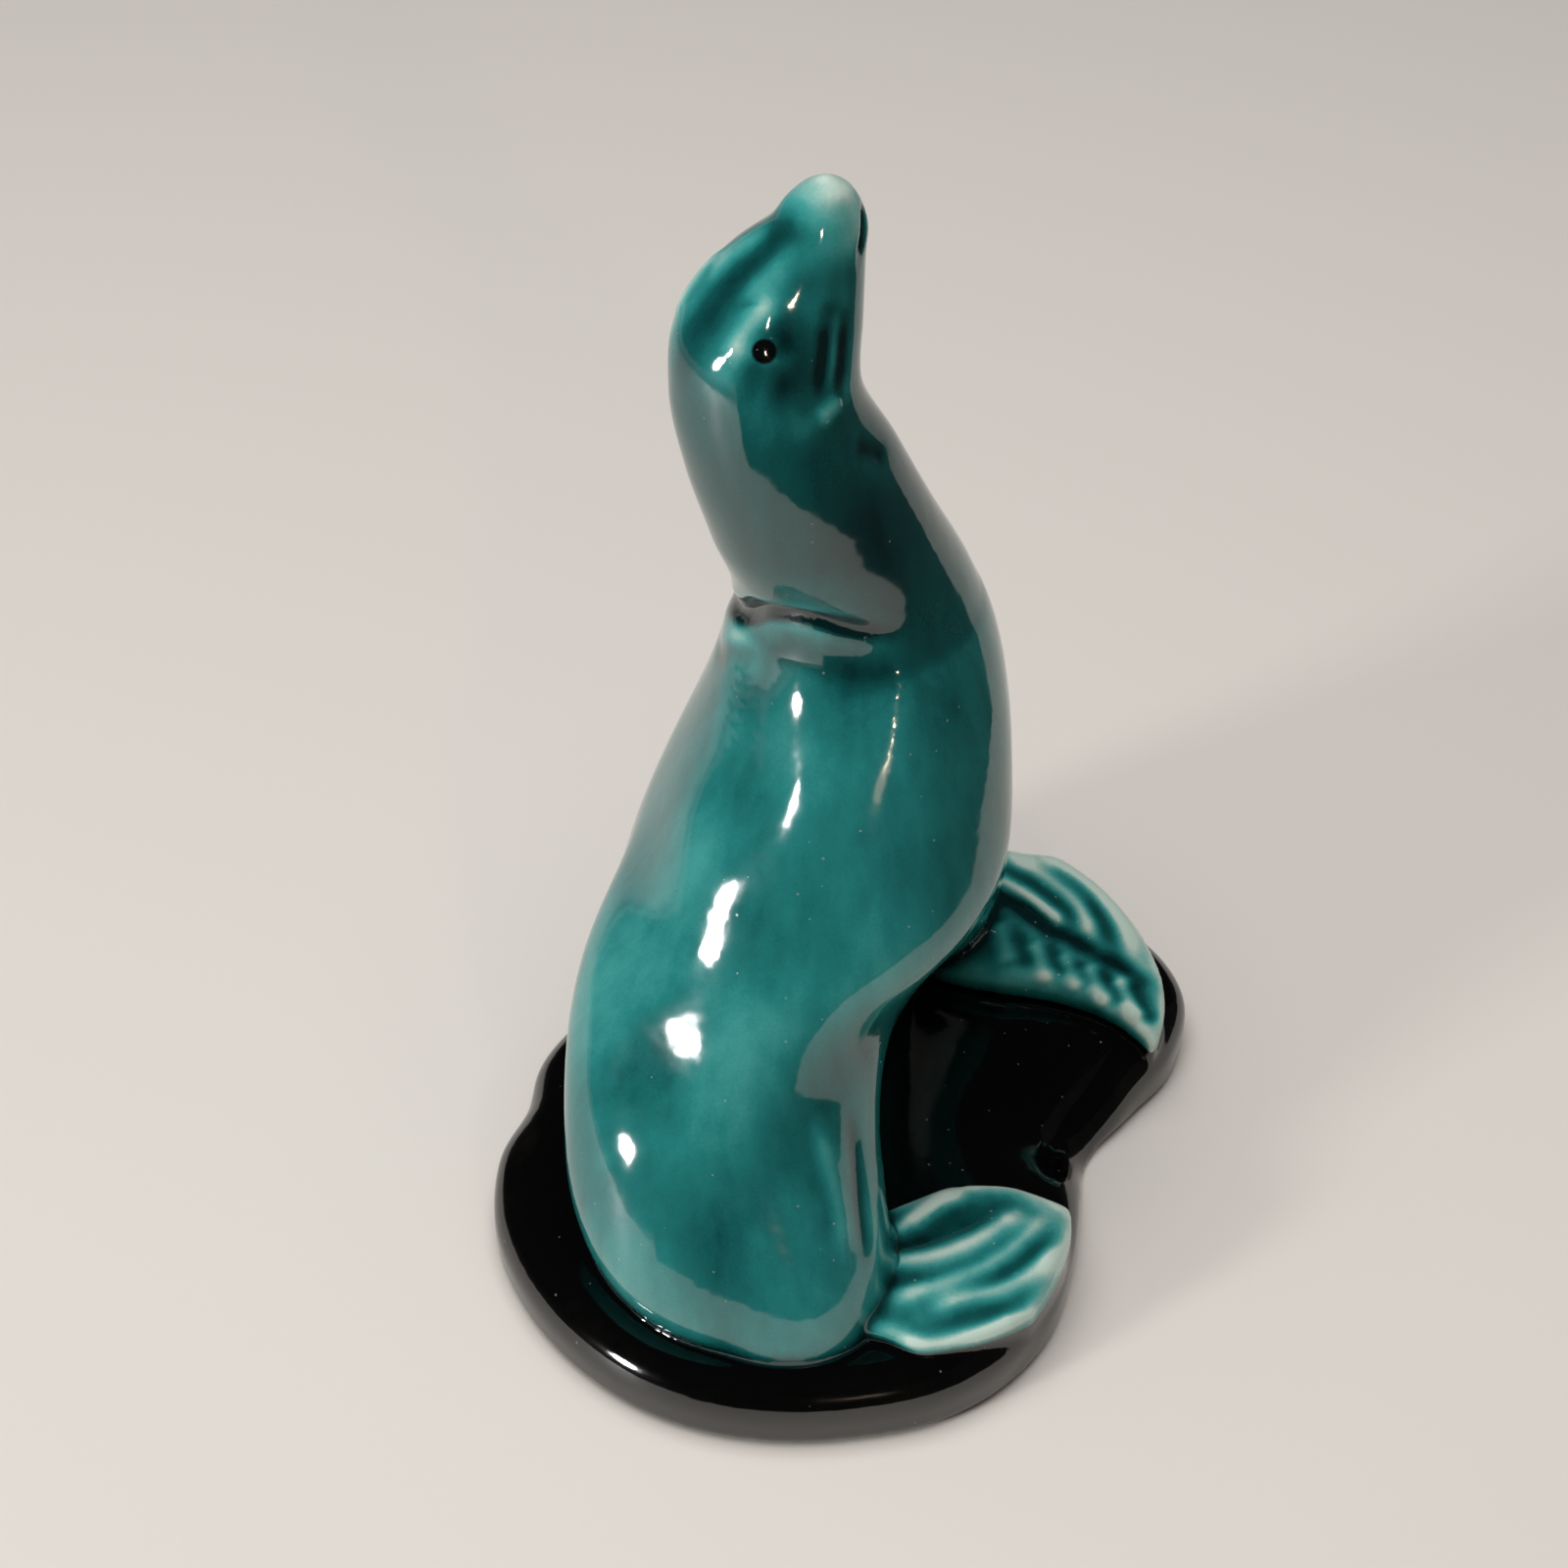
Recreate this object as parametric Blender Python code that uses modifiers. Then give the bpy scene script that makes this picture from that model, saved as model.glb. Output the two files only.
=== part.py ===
"""Pottery seal figurine: a sea lion rearing up on a rock, slip-cast and glazed as one piece.

The origin lies on the floor under the middle of the rock, and +Z is up. The rump is toward -Y and -X,
the seal looks toward +Y and +X, and its ribbed flippers spread to +X. Sizes are in millimetres.
"""
import math

import bmesh
import bpy
import numpy as np

MM = 0.001

# Height from the floor to the tip of the nose.
HEIGHT = 157.5

# Body: level sections from the rock up to the nose.
# Each is level as a share of the height, centre x, centre y, mean radius, stretch and
# heading of the long side in degrees.
BODY_SECTIONS = (
    (0.038, -16.0, -21.2, 21.7, 3.7, -40.0),
    (0.102, -19.2, -16.3, 23.0, 3.5, -90.0),
    (0.152, -20.2, -11.9, 23.5, 4.9, -101.0),
    (0.203, -18.8, -7.2, 24.4, 4.9, -107.0),
    (0.260, -15.2, -1.3, 26.2, 4.5, -115.0),
    (0.319, -9.9, 5.0, 27.8, 4.0, -119.0),
    (0.368, -4.9, 9.8, 28.0, 2.7, -91.0),
    (0.447, -1.7, 14.2, 25.6, 2.7, -90.0),
    (0.520, 0.0, 16.6, 22.2, 2.2, -95.0),
    (0.568, 0.2, 17.7, 19.6, 1.6, -97.0),
    (0.612, -0.7, 18.4, 17.2, 0.9, -93.0),
    (0.698, -5.2, 14.3, 14.7, 0.5, -132.0),
    (0.765, -9.0, 12.5, 13.6, 0.3, -138.0),
    (0.832, -12.3, 11.7, 11.9, 0.0, -138.0),
    (0.886, -11.7, 13.3, 11.2, 0.4, -144.0),
    (0.933, -8.7, 14.7, 8.4, 0.3, -146.0),
    (0.963, -6.0, 14.2, 5.8, 0.3, -139.0),
    (0.983, -5.5, 14.1, 4.1, 0.2, -139.0),
    (0.995, -5.1, 13.9, 2.2, 0.0, -139.0),
    (1.000, -5.0, 13.9, 0.6, 0.0, -139.0),
)
# Chest and belly: level sections that lean away from the viewer down to the rock.
CHEST_SECTIONS = (
    (6.0, -14.0, 28.0, 24.0, 4.0, 60.0),
    (12.0, -14.0, 27.0, 24.0, 4.0, 60.0),
    (22.0, -13.5, 24.5, 24.3, 3.0, 60.0),
    (32.0, -12.5, 21.0, 24.5, 2.5, 60.0),
    (42.0, -10.0, 18.0, 25.0, 1.5, 60.0),
    (52.0, -7.0, 16.5, 25.0, 0.5, 60.0),
    (66.0, -3.5, 17.0, 23.0, 0.0, 60.0),
    (80.0, -1.0, 19.0, 19.0, 0.0, 60.0),
)
# Shoulder: level sections that run from the right flank down to the root of the fore flipper.
SHOULDER_SECTIONS = (
    (8.0, 10.0, 43.5, 11.0, 0.0, 60.0),
    (13.0, 10.0, 41.0, 11.5, 0.0, 60.0),
    (20.0, 9.5, 36.0, 12.6, 0.0, 60.0),
    (32.0, 8.0, 28.5, 14.4, 0.0, 60.0),
    (40.0, 7.0, 24.5, 15.8, 0.0, 60.0),
    (48.0, 5.8, 21.0, 16.8, 0.0, 60.0),
    (56.0, 4.5, 18.5, 17.6, 0.0, 60.0),
    (66.0, 3.2, 17.0, 18.2, 0.0, 60.0),
    (78.0, 1.0, 16.5, 18.2, 0.0, 60.0),
)
# Thigh: level sections of a mass that swells out of the near right side of the rump.
THIGH_SECTIONS = (
    (6.0, -9.8, -30.0, 15.0, 0.5, -60.0),
    (12.0, -10.2, -29.5, 15.5, 0.5, -60.0),
    (20.0, -11.6, -26.3, 16.3, 0.4, -60.0),
    (30.0, -14.0, -19.0, 17.2, 0.0, -60.0),
    (44.0, -13.5, -7.5, 18.5, 0.0, -60.0),
    (58.0, -9.0, 4.0, 19.5, 0.0, -60.0),
)

# Rock: its width and depth, and its outline on the floor as shares of them,
# anticlockwise from the right.
ROCK_WIDTH = 106.0
ROCK_DEPTH = 108.5
ROCK_OUTLINE = (
    (0.504, 0.253), (0.462, 0.364), (0.363, 0.452), (0.189, 0.521), (-0.019, 0.525),
    (-0.208, 0.465), (-0.321, 0.364), (-0.382, 0.249), (-0.453, 0.124), (-0.462, 0.046),
    (-0.494, -0.055), (-0.492, -0.147), (-0.449, -0.254), (-0.370, -0.354), (-0.281, -0.420),
    (-0.182, -0.457), (-0.094, -0.468), (0.008, -0.461), (0.109, -0.437), (0.193, -0.387),
    (0.258, -0.313), (0.300, -0.203), (0.321, -0.088), (0.336, -0.009), (0.404, 0.074),
    (0.477, 0.162),
)
ROCK_TOP = 10.5
ROCK_FOOT_INSET = 1.4
ROCK_FOOT_HEIGHT = 1.6
ROCK_SHOULDER = 5.5
# Swells of the rock's top: centre x, centre y, rise, reach in x and reach in y.
ROCK_SWELLS = (
    (38.0, 30.0, 3.0, 16.0, 14.0),
    (38.0, -2.0, -4.5, 11.0, 8.0),
    (-50.0, -5.0, 1.5, 9.0, 9.0),
)

# Flippers: four corners of the upper face, each x, y and height above the rock's top.
# They run from the root along the lower edge to the tip and back along the upper edge.
HIND_CORNERS = ((1.0, -44.5, 2.0), (25.8, -35.3, 2.0), (31.0, -20.0, 3.0), (0.0, -19.0, 5.5))
FORE_CORNERS = ((8.0, 31.5, 4.5), (46.0, 12.8, 2.5), (44.5, 30.0, 12.0), (9.0, 44.0, 24.0))
FAR_CORNERS = ((-22.0, 44.0, 9.5), (-31.5, 38.0, 2.5), (-41.0, 18.0, 2.5), (-24.0, 18.0, 13.5))
HIND_BULGE = 1.4
FORE_BULGE = 3.4
FAR_BULGE = 1.5
FAN_CROWN = 1.2
CROWN_FALL = 0.4
FLIPPER_SINK = 5.5
BACK_SLOPE = 9.0
BACK_SINK = 1.5
BACK_CURVE = 1.6

# Ribs: their depth, how sharp they are, how much of their depth stands below the face,
# how far in from an edge they fade, and how many each flipper has.
RIB_DEPTH = 1.2
RIB_SHARPNESS = 0.7
RIB_SUNK = 0.6
RIB_EDGE = 0.08
FIRST_RIB = 0.25
HIND_RIBS = 5
HIND_CLIMB = 0.38
FAR_RIBS = 4
# The fore flipper's arcs run round a point on its crease, and its lower ribs slant away from it.
FORE_ARCS = 4.2
ARC_CENTRE = 0.18
ARC_SPREAD = 1.1
FORE_SLANTS = 4.5
SLANT = 0.9
LOBE_CREASE = 0.54
LOBE_CREASE_WIDTH = 0.05
LOBE_CREASE_DEPTH = 1.2

# Wall of the casting, solid clay left above each hollow, and the vent in the underside;
# the vent's middle stands at a share of the floor's thickness.
WALL = 4.5
FLOOR = 6.0
CROWN = 17.5
CHEST_CROWN = 24.0
VENT_RADIUS = 6.0
VENT_CENTRE = (-20.0, -14.0)
VENT_RISE = 0.6

# Neck fold and the small fold below it: (turn in degrees, level as a share of the height).
NECK_FOLD = (
    (150, 0.564), (177, 0.590), (205, 0.611), (231, 0.640),
    (250, 0.648), (277, 0.639), (288, 0.634),
)
SMALL_FOLD = ((170, 0.551), (200, 0.571), (222, 0.592))
FOLD_DEPTH = 1.5
SMALL_FOLD_DEPTH = 0.5
FOLD_WIDTH = 1.3

# Face, the same on both sides: (turn from the way the head faces, level), depth and width.
# Negative depth stands proud.
HEAD_HEADING = 32.0
FACE_LINES = (
    (((50, 0.982), (51, 0.956), (58, 0.935)), 0.7, 0.7),
    (((128, 0.898), (129, 0.894)), 1, 1.3),
    (((112, 0.896), (98, 0.879)), 0.8, 2.4),
    (((150, 0.876), (146, 0.896), (132, 0.919), (112, 0.921)), -0.8, 1.3),
    (((168, 0.890), (160, 0.919), (140, 0.953)), 0.4, 1.3),
)

# Trunk: fineness, softening of the joins between its masses, what the softening draws in,
# the band in which the finer neck and head rise out of it, as shares of the height,
# and how far the body's own sections run up past that band.
TRUNK_VOXEL = 1.2
TRUNK_SOFTENING = 60
TRUNK_DRAWN_IN = 0.45
NECK_BAND = (0.46, 0.54)
NECK_SINK = 0.8
TRUNK_OVERLAP = 12.0

# Fineness of the skin, its softening and the share of faces kept.
VOXEL = 0.7
SOFTENING = 4
THINNING = 0.043


def smooth_between(knots, values, at):
    """Cubic curve through the given values, without a sudden change of slope."""
    knots = np.asarray(knots, float)
    values = np.asarray(values, float)
    slope = np.gradient(values, knots)
    i = np.clip(np.searchsorted(knots, at) - 1, 0, len(knots) - 2)
    span = knots[i + 1] - knots[i]
    t = (at - knots[i]) / span
    t2 = t * t
    t3 = t2 * t
    start = (2 * t3 - 3 * t2 + 1) * values[i] + (t3 - 2 * t2 + t) * span * slope[i]
    return start + (3 * t2 - 2 * t3) * values[i + 1] + (t3 - t2) * span * slope[i + 1]


def in_heights(table):
    """The same rows with their level turned from a share of the height into a height."""
    return tuple((row[0] * HEIGHT, *row[1:]) for row in table)


def section_rings(sections, heights, around, inward=0.0):
    """Rings of points through level sections, drawn in by a wall thickness if given."""
    table = np.array(sections, float)
    lean = np.radians(2 * table[:, 5])
    x = smooth_between(table[:, 0], table[:, 1], heights)
    y = smooth_between(table[:, 0], table[:, 2], heights)
    mean = smooth_between(table[:, 0], table[:, 3], heights) - inward
    along = smooth_between(table[:, 0], table[:, 4] * np.cos(lean), heights)
    across = smooth_between(table[:, 0], table[:, 4] * np.sin(lean), heights)
    turn = np.linspace(0, 2 * math.pi, around, endpoint=False)
    radius = mean[:, None] + along[:, None] * np.cos(2 * turn) + across[:, None] * np.sin(2 * turn)
    level = np.broadcast_to(np.asarray(heights)[:, None], radius.shape)
    return np.stack([x[:, None] + radius * np.cos(turn), y[:, None] + radius * np.sin(turn), level], -1)


def groove(rings, centres, path, depth, width):
    """Press a groove along a path of (turn in degrees, level) round the body."""
    turn = np.degrees(np.arctan2(rings[..., 1] - centres[..., 1], rings[..., 0] - centres[..., 0])) % 360
    radius = np.hypot(rings[..., 0] - centres[..., 0], rings[..., 1] - centres[..., 1])
    path = np.array(path, float) * (1, HEIGHT)
    nearest = np.full(turn.shape, np.inf)
    for start, end in zip(path[:-1], path[1:]):
        ahead = math.radians(end[0] - start[0]) * radius
        up = end[1] - start[1]
        aside = np.radians((turn - start[0] + 180) % 360 - 180) * radius
        above = rings[..., 2] - start[1]
        share = np.clip((aside * ahead + above * up) / (ahead * ahead + up * up), 0, 1)
        nearest = np.minimum(nearest, np.hypot(aside - share * ahead, above - share * up))
    pressed = depth * np.exp(-(nearest / width) ** 2)
    outward = (rings - centres) / radius[..., None]
    return rings - outward * pressed[..., None]


def body_rings():
    """Upper body to the nose with its neck fold, eye sockets, brows and mouth."""
    sections = in_heights(BODY_SECTIONS)
    start, level = np.array(NECK_BAND) * HEIGHT
    heights = np.linspace(start, sections[-1][0], 190)
    sink = NECK_SINK * np.clip((level - heights) / (level - start), 0, 1)
    rings = section_rings(sections, heights, 144, inward=sink)
    centres = rings.mean(axis=1, keepdims=True) * np.ones_like(rings)
    rings = groove(rings, centres, NECK_FOLD, FOLD_DEPTH, FOLD_WIDTH)
    rings = groove(rings, centres, SMALL_FOLD, SMALL_FOLD_DEPTH, FOLD_WIDTH)
    for side in (-1, 1):
        for path, depth, width in FACE_LINES:
            turned = [(HEAD_HEADING + side * turn, level) for turn, level in path]
            rings = groove(rings, centres, turned, depth, width)
    return rings


def rock_height(x, y):
    """Height of the rock's top: it climbs under the fore flipper and dips between the two flippers."""
    height = np.full(np.shape(x), ROCK_TOP)
    for middle_x, middle_y, rise, reach_x, reach_y in ROCK_SWELLS:
        height += rise * np.exp(-((x - middle_x) / reach_x) ** 2 - ((y - middle_y) / reach_y) ** 2)
    return height


def closed_curve(points, count):
    """Smooth closed outline through the given points."""
    points = np.array(points, float)
    wrapped = np.vstack([points[-3:], points, points[:4]])
    steps = np.hypot(*np.diff(wrapped, axis=0).T)
    run = np.concatenate([[0], np.cumsum(steps)])
    at = np.linspace(run[3], run[3 + len(points)], count, endpoint=False)
    return np.stack([smooth_between(run, wrapped[:, 0], at), smooth_between(run, wrapped[:, 1], at)], -1)


def inset(outline, distance):
    """Move a closed outline inward along its normals."""
    tangent = np.roll(outline, -1, 0) - np.roll(outline, 1, 0)
    tangent /= np.linalg.norm(tangent, axis=1)[:, None]
    return outline + np.stack([-tangent[:, 1], tangent[:, 0]], -1) * distance


def rock_rings():
    """Rock from the middle of its underside, out and up its wall, and back over its top."""
    outline = closed_curve(np.array(ROCK_OUTLINE) * (ROCK_WIDTH, ROCK_DEPTH), 180)
    middle = outline.mean(axis=0)
    foot = inset(outline, ROCK_FOOT_INSET)
    rings = []
    for share in (0.02, 0.35, 0.7, 1.0):
        rings.append(np.column_stack([middle + (foot - middle) * share, np.zeros(len(outline))]))
    top = rock_height(outline[:, 0], outline[:, 1])
    rings.append(np.column_stack([outline, np.full(len(outline), ROCK_FOOT_HEIGHT)]))
    rings.append(np.column_stack([outline, top - ROCK_SHOULDER]))
    for angle in (30, 60, 90):
        back = ROCK_SHOULDER * (1 - math.cos(math.radians(angle)))
        lift = ROCK_SHOULDER * math.sin(math.radians(angle))
        rings.append(np.column_stack([inset(outline, back), top - ROCK_SHOULDER + lift]))
    shoulder = inset(outline, ROCK_SHOULDER)
    for share in (0.9, 0.75, 0.55, 0.3, 0.02):
        ring = middle + (shoulder - middle) * share
        rings.append(np.column_stack([ring, rock_height(ring[:, 0], ring[:, 1])]))
    return np.array(rings)


def hind_ribs(u, w):
    """Rib pattern of the hind flipper: ridges that climb from the root to the tip."""
    return HIND_RIBS * (w - HIND_CLIMB * u) + FIRST_RIB


def fore_ribs(u, w):
    """Rib pattern of the fore flipper: arcs in the upper lobe and slanting ribs in the lower one."""
    arcs = FORE_ARCS * np.hypot(u - ARC_CENTRE, (w - LOBE_CREASE) * ARC_SPREAD)
    slants = FORE_SLANTS * (u - SLANT * (LOBE_CREASE - w))
    return np.where(w > LOBE_CREASE, arcs, slants)


def far_ribs(u, w):
    """Rib pattern of the far flipper: plain ribs from root to tip."""
    return FAR_RIBS * w + FIRST_RIB + 0 * u


def flipper_face(corners, ribs, bulge, crease_depth, back=0.0):
    """Ribbed fan between four corners; a back slope runs down behind its upper edge if asked for."""
    raised = np.array(corners, float) + (0, 0, ROCK_TOP)
    root_low, tip_low, tip_high, root_high = raised
    u, w = np.meshgrid(np.linspace(0, 1, 61), np.linspace(0, 1, 49), indexing="ij")
    lower = root_low + (tip_low - root_low) * u[..., None]
    upper = root_high + (tip_high - root_high) * u[..., None]
    face = lower + (upper - lower) * w[..., None]
    across = upper - lower
    across[..., 2] = 0
    across /= np.linalg.norm(across, axis=-1)[..., None]
    along = tip_low - root_low + tip_high - root_high
    along[2] = 0
    along /= np.linalg.norm(along)
    swell = 4 * u * (1 - u) * (w - 0.5) * 2
    face = face + across * (bulge * swell)[..., None] + along * (bulge * 4 * w * (1 - w) * u)[..., None]
    ridge = np.abs(np.cos(math.pi * ribs(u, w)))
    fade = np.clip(np.minimum(w, 1 - w) / RIB_EDGE, 0, 1)
    face[..., 2] += RIB_DEPTH * (ridge ** RIB_SHARPNESS - RIB_SUNK) * fade
    face[..., 2] += FAN_CROWN * np.sin(math.pi * w) * (1 - CROWN_FALL * u)
    face[..., 2] -= crease_depth * np.exp(-((w - LOBE_CREASE) / LOBE_CREASE_WIDTH) ** 2)
    if back <= 0:
        return face
    edge = face[:, -1]
    slope = []
    for share in np.linspace(0.1, 1, 12):
        row = edge + across[:, -1] * back * share
        row[:, 2] = edge[:, 2] + (ROCK_TOP - BACK_SINK - edge[:, 2]) * share ** BACK_CURVE
        slope.append(row)
    return np.concatenate([face, np.stack(slope, 1)], 1)


def add_slab(mesh, face):
    """Close a fan with an underside and walls."""
    under = face.copy()
    under[..., 2] = ROCK_TOP - FLIPPER_SINK
    rows, columns = face.shape[:2]
    top = [[mesh.verts.new(p * MM) for p in row] for row in face]
    low = [[mesh.verts.new(p * MM) for p in row] for row in under]
    for i in range(rows - 1):
        for j in range(columns - 1):
            mesh.faces.new((top[i][j], top[i + 1][j], top[i + 1][j + 1], top[i][j + 1]))
            mesh.faces.new((low[i][j], low[i][j + 1], low[i + 1][j + 1], low[i + 1][j]))
    rim = [(i, 0) for i in range(rows)] + [(rows - 1, j) for j in range(1, columns)]
    rim += [(i, columns - 1) for i in range(rows - 2, -1, -1)] + [(0, j) for j in range(columns - 2, 0, -1)]
    for (a, b), (c, d) in zip(rim, rim[1:] + rim[:1]):
        mesh.faces.new((low[a][b], low[c][d], top[c][d], top[a][b]))


def add_loft(mesh, rings):
    """Closed loft through rings of equal count, capped at both ends."""
    loops = [[mesh.verts.new(p * MM) for p in ring] for ring in rings]
    count = len(loops[0])
    for low, high in zip(loops[:-1], loops[1:]):
        for i in range(count):
            j = (i + 1) % count
            mesh.faces.new((low[i], low[j], high[j], high[i]))
    mesh.faces.new(tuple(reversed(loops[0])))
    mesh.faces.new(tuple(loops[-1]))


def mesh_object(name, mesh, collection):
    """Turn a built mesh into a named object of a collection."""
    bmesh.ops.recalc_face_normals(mesh, faces=mesh.faces)
    data = bpy.data.meshes.new(name)
    mesh.to_mesh(data)
    mesh.free()
    thing = bpy.data.objects.new(name, data)
    collection.objects.link(thing)
    return thing


def cutter(thing):
    """Show an object as a wire that takes no part in the picture."""
    thing.hide_render = True
    thing.display_type = "WIRE"
    return thing


def skin_over(thing, fineness, softening):
    """Wrap an object in one skin and soften it."""
    skin = thing.modifiers.new("one skin", "REMESH")
    skin.mode = "VOXEL"
    skin.voxel_size = fineness * MM
    skin.use_smooth_shade = True
    soft = thing.modifiers.new("soften", "SMOOTH")
    soft.factor = 0.5
    soft.iterations = softening


def trunk_skin(collection):
    """Soft skin over the body, chest, shoulder and thigh."""
    mesh = bmesh.new()
    for sections in (in_heights(BODY_SECTIONS), CHEST_SECTIONS, SHOULDER_SECTIONS, THIGH_SECTIONS):
        levels = np.linspace(sections[0][0], min(sections[-1][0], NECK_BAND[1] * HEIGHT + TRUNK_OVERLAP), 60)
        add_loft(mesh, section_rings(sections, levels, 72, inward=-TRUNK_DRAWN_IN))
    trunk = cutter(mesh_object("trunk", mesh, collection))
    skin_over(trunk, TRUNK_VOXEL, TRUNK_SOFTENING)
    graph = bpy.context.evaluated_depsgraph_get()
    wrapped = bpy.data.meshes.new_from_object(trunk.evaluated_get(graph))
    bpy.data.objects.remove(trunk, do_unlink=True)
    return wrapped


def build():
    """Build the figurine, its hollow and its vent."""
    for thing in list(bpy.data.objects):
        bpy.data.objects.remove(thing, do_unlink=True)
    parts = bpy.data.collections.new("pottery_seal_figurine")
    cutters = bpy.data.collections.new("cutters")
    bpy.context.scene.collection.children.link(parts)
    bpy.context.scene.collection.children.link(cutters)

    mesh = bmesh.new()
    mesh.from_mesh(trunk_skin(cutters))
    add_loft(mesh, body_rings())
    add_loft(mesh, rock_rings())
    add_slab(mesh, flipper_face(HIND_CORNERS, hind_ribs, HIND_BULGE, 0.0))
    add_slab(mesh, flipper_face(FORE_CORNERS, fore_ribs, FORE_BULGE, LOBE_CREASE_DEPTH, back=BACK_SLOPE))
    add_slab(mesh, flipper_face(FAR_CORNERS, far_ribs, FAR_BULGE, 0.0))
    figure = mesh_object("seal_figurine", mesh, parts)

    rooms = []
    spans = (
        ("body_hollow", in_heights(BODY_SECTIONS), CROWN, 24),
        ("chest_hollow", CHEST_SECTIONS, CHEST_CROWN, 10),
    )
    for label, sections, solid_above, rows in spans:
        hollow = bmesh.new()
        levels = np.linspace(FLOOR, sections[-1][0] - solid_above, rows)
        add_loft(hollow, section_rings(sections, levels, 28, inward=WALL))
        rooms.append((label, cutter(mesh_object(label, hollow, cutters))))

    bpy.ops.mesh.primitive_cylinder_add(
        vertices=32, radius=VENT_RADIUS * MM, depth=2 * FLOOR * MM,
        location=(VENT_CENTRE[0] * MM, VENT_CENTRE[1] * MM, FLOOR * VENT_RISE * MM))
    vent = cutter(bpy.context.object)
    vent.name = "vent"
    for owner in list(vent.users_collection):
        owner.objects.unlink(vent)
    cutters.objects.link(vent)

    glaze = bpy.data.materials.new("glazed_earthenware")
    glaze.use_nodes = True
    shader = glaze.node_tree.nodes["Principled BSDF"]
    shader.inputs["Base Color"].default_value = (0.013, 0.156, 0.127, 1)
    shader.inputs["Roughness"].default_value = 0.08
    shader.inputs["Metallic"].default_value = 0.0
    figure.data.materials.append(glaze)

    skin_over(figure, VOXEL, SOFTENING)
    thin = figure.modifiers.new("thin out", "DECIMATE")
    thin.ratio = THINNING
    for label, tool in (*rooms, ("vent", vent)):
        cut = figure.modifiers.new(label, "BOOLEAN")
        cut.operation = "DIFFERENCE"
        cut.solver = "EXACT"
        cut.object = tool
    for face in figure.data.polygons:
        face.use_smooth = True


build()
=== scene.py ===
"""Pottery seal figurine: a sea lion on a rock in teal and black glaze, standing on a pale floor."""

import logging
import math
from dataclasses import dataclass
from enum import Enum

import bmesh
import bpy
import numpy as np
from mathutils.bvhtree import BVHTree
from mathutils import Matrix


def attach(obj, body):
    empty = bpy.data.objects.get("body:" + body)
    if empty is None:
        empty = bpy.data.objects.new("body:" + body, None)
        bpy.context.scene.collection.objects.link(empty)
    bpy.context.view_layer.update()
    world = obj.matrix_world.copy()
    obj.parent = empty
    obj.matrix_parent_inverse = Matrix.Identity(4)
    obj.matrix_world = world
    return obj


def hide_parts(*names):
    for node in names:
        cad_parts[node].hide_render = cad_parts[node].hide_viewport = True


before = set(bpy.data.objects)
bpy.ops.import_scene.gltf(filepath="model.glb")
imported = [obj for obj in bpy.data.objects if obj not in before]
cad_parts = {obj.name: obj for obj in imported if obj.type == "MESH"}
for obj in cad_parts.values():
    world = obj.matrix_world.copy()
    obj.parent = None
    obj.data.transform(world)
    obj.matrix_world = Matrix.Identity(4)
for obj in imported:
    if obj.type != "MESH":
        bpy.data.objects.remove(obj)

MM = 0.001
NODE = "seal_figurine"
HEIGHT = 157.5
log = logging.getLogger("seal")

Rows = tuple[tuple[float, ...], ...]
Colour = tuple[float, float, float]
Stops = tuple[tuple[float, Colour], ...]


class Stored(Enum):
    """Numbers stored at the mesh's points for the glaze to read."""

    TEAL_EDGE = "teal_edge"
    RELIEF = "relief"
    SWELL = "swell"
    EYE = "eye"
    GLAZE_AND_PAINTED_LIGHT = "glaze_and_painted_light"


# ------------------------------------------------------------------ curves and sections
def smooth_between(knots: np.ndarray, values: np.ndarray, at: np.ndarray) -> np.ndarray:
    """Cubic curve through the given values, without a sudden change of slope.

    Args:
        knots: where the values stand, rising.
        values: one value for each knot.
        at: where the curve is read.

    Returns:
        The curve's value at each place asked for.
    """
    knots = np.asarray(knots, float)
    values = np.asarray(values, float)
    slope = np.gradient(values, knots)
    i = np.clip(np.searchsorted(knots, at) - 1, 0, len(knots) - 2)
    span = knots[i + 1] - knots[i]
    t = (at - knots[i]) / span
    start = (2 * t**3 - 3 * t**2 + 1) * values[i] + (t**3 - 2 * t**2 + t) * span * slope[i]
    return start + (3 * t**2 - 2 * t**3) * values[i + 1] + (t**3 - t**2) * span * slope[i + 1]


def closed_curve(points: np.ndarray, count: int) -> np.ndarray:
    """Smooth closed outline through the given points.

    Args:
        points: the outline's corners in order.
        count: how many points the smooth outline gets.

    Returns:
        An array of count points in x and y.
    """
    wrapped = np.vstack([points[-3:], points, points[:4]])
    run = np.concatenate([[0], np.cumsum(np.hypot(*np.diff(wrapped, axis=0).T))])
    at = np.linspace(run[3], run[3 + len(points)], count, endpoint=False)
    return np.stack([smooth_between(run, wrapped[:, 0], at), smooth_between(run, wrapped[:, 1], at)], -1)


def inset(outline: np.ndarray, distance: float) -> np.ndarray:
    """Closed outline moved inward along its normals by a distance."""
    tangent = np.roll(outline, -1, 0) - np.roll(outline, 1, 0)
    tangent /= np.linalg.norm(tangent, axis=1)[:, None]
    return outline + np.stack([-tangent[:, 1], tangent[:, 0]], -1) * distance


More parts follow.
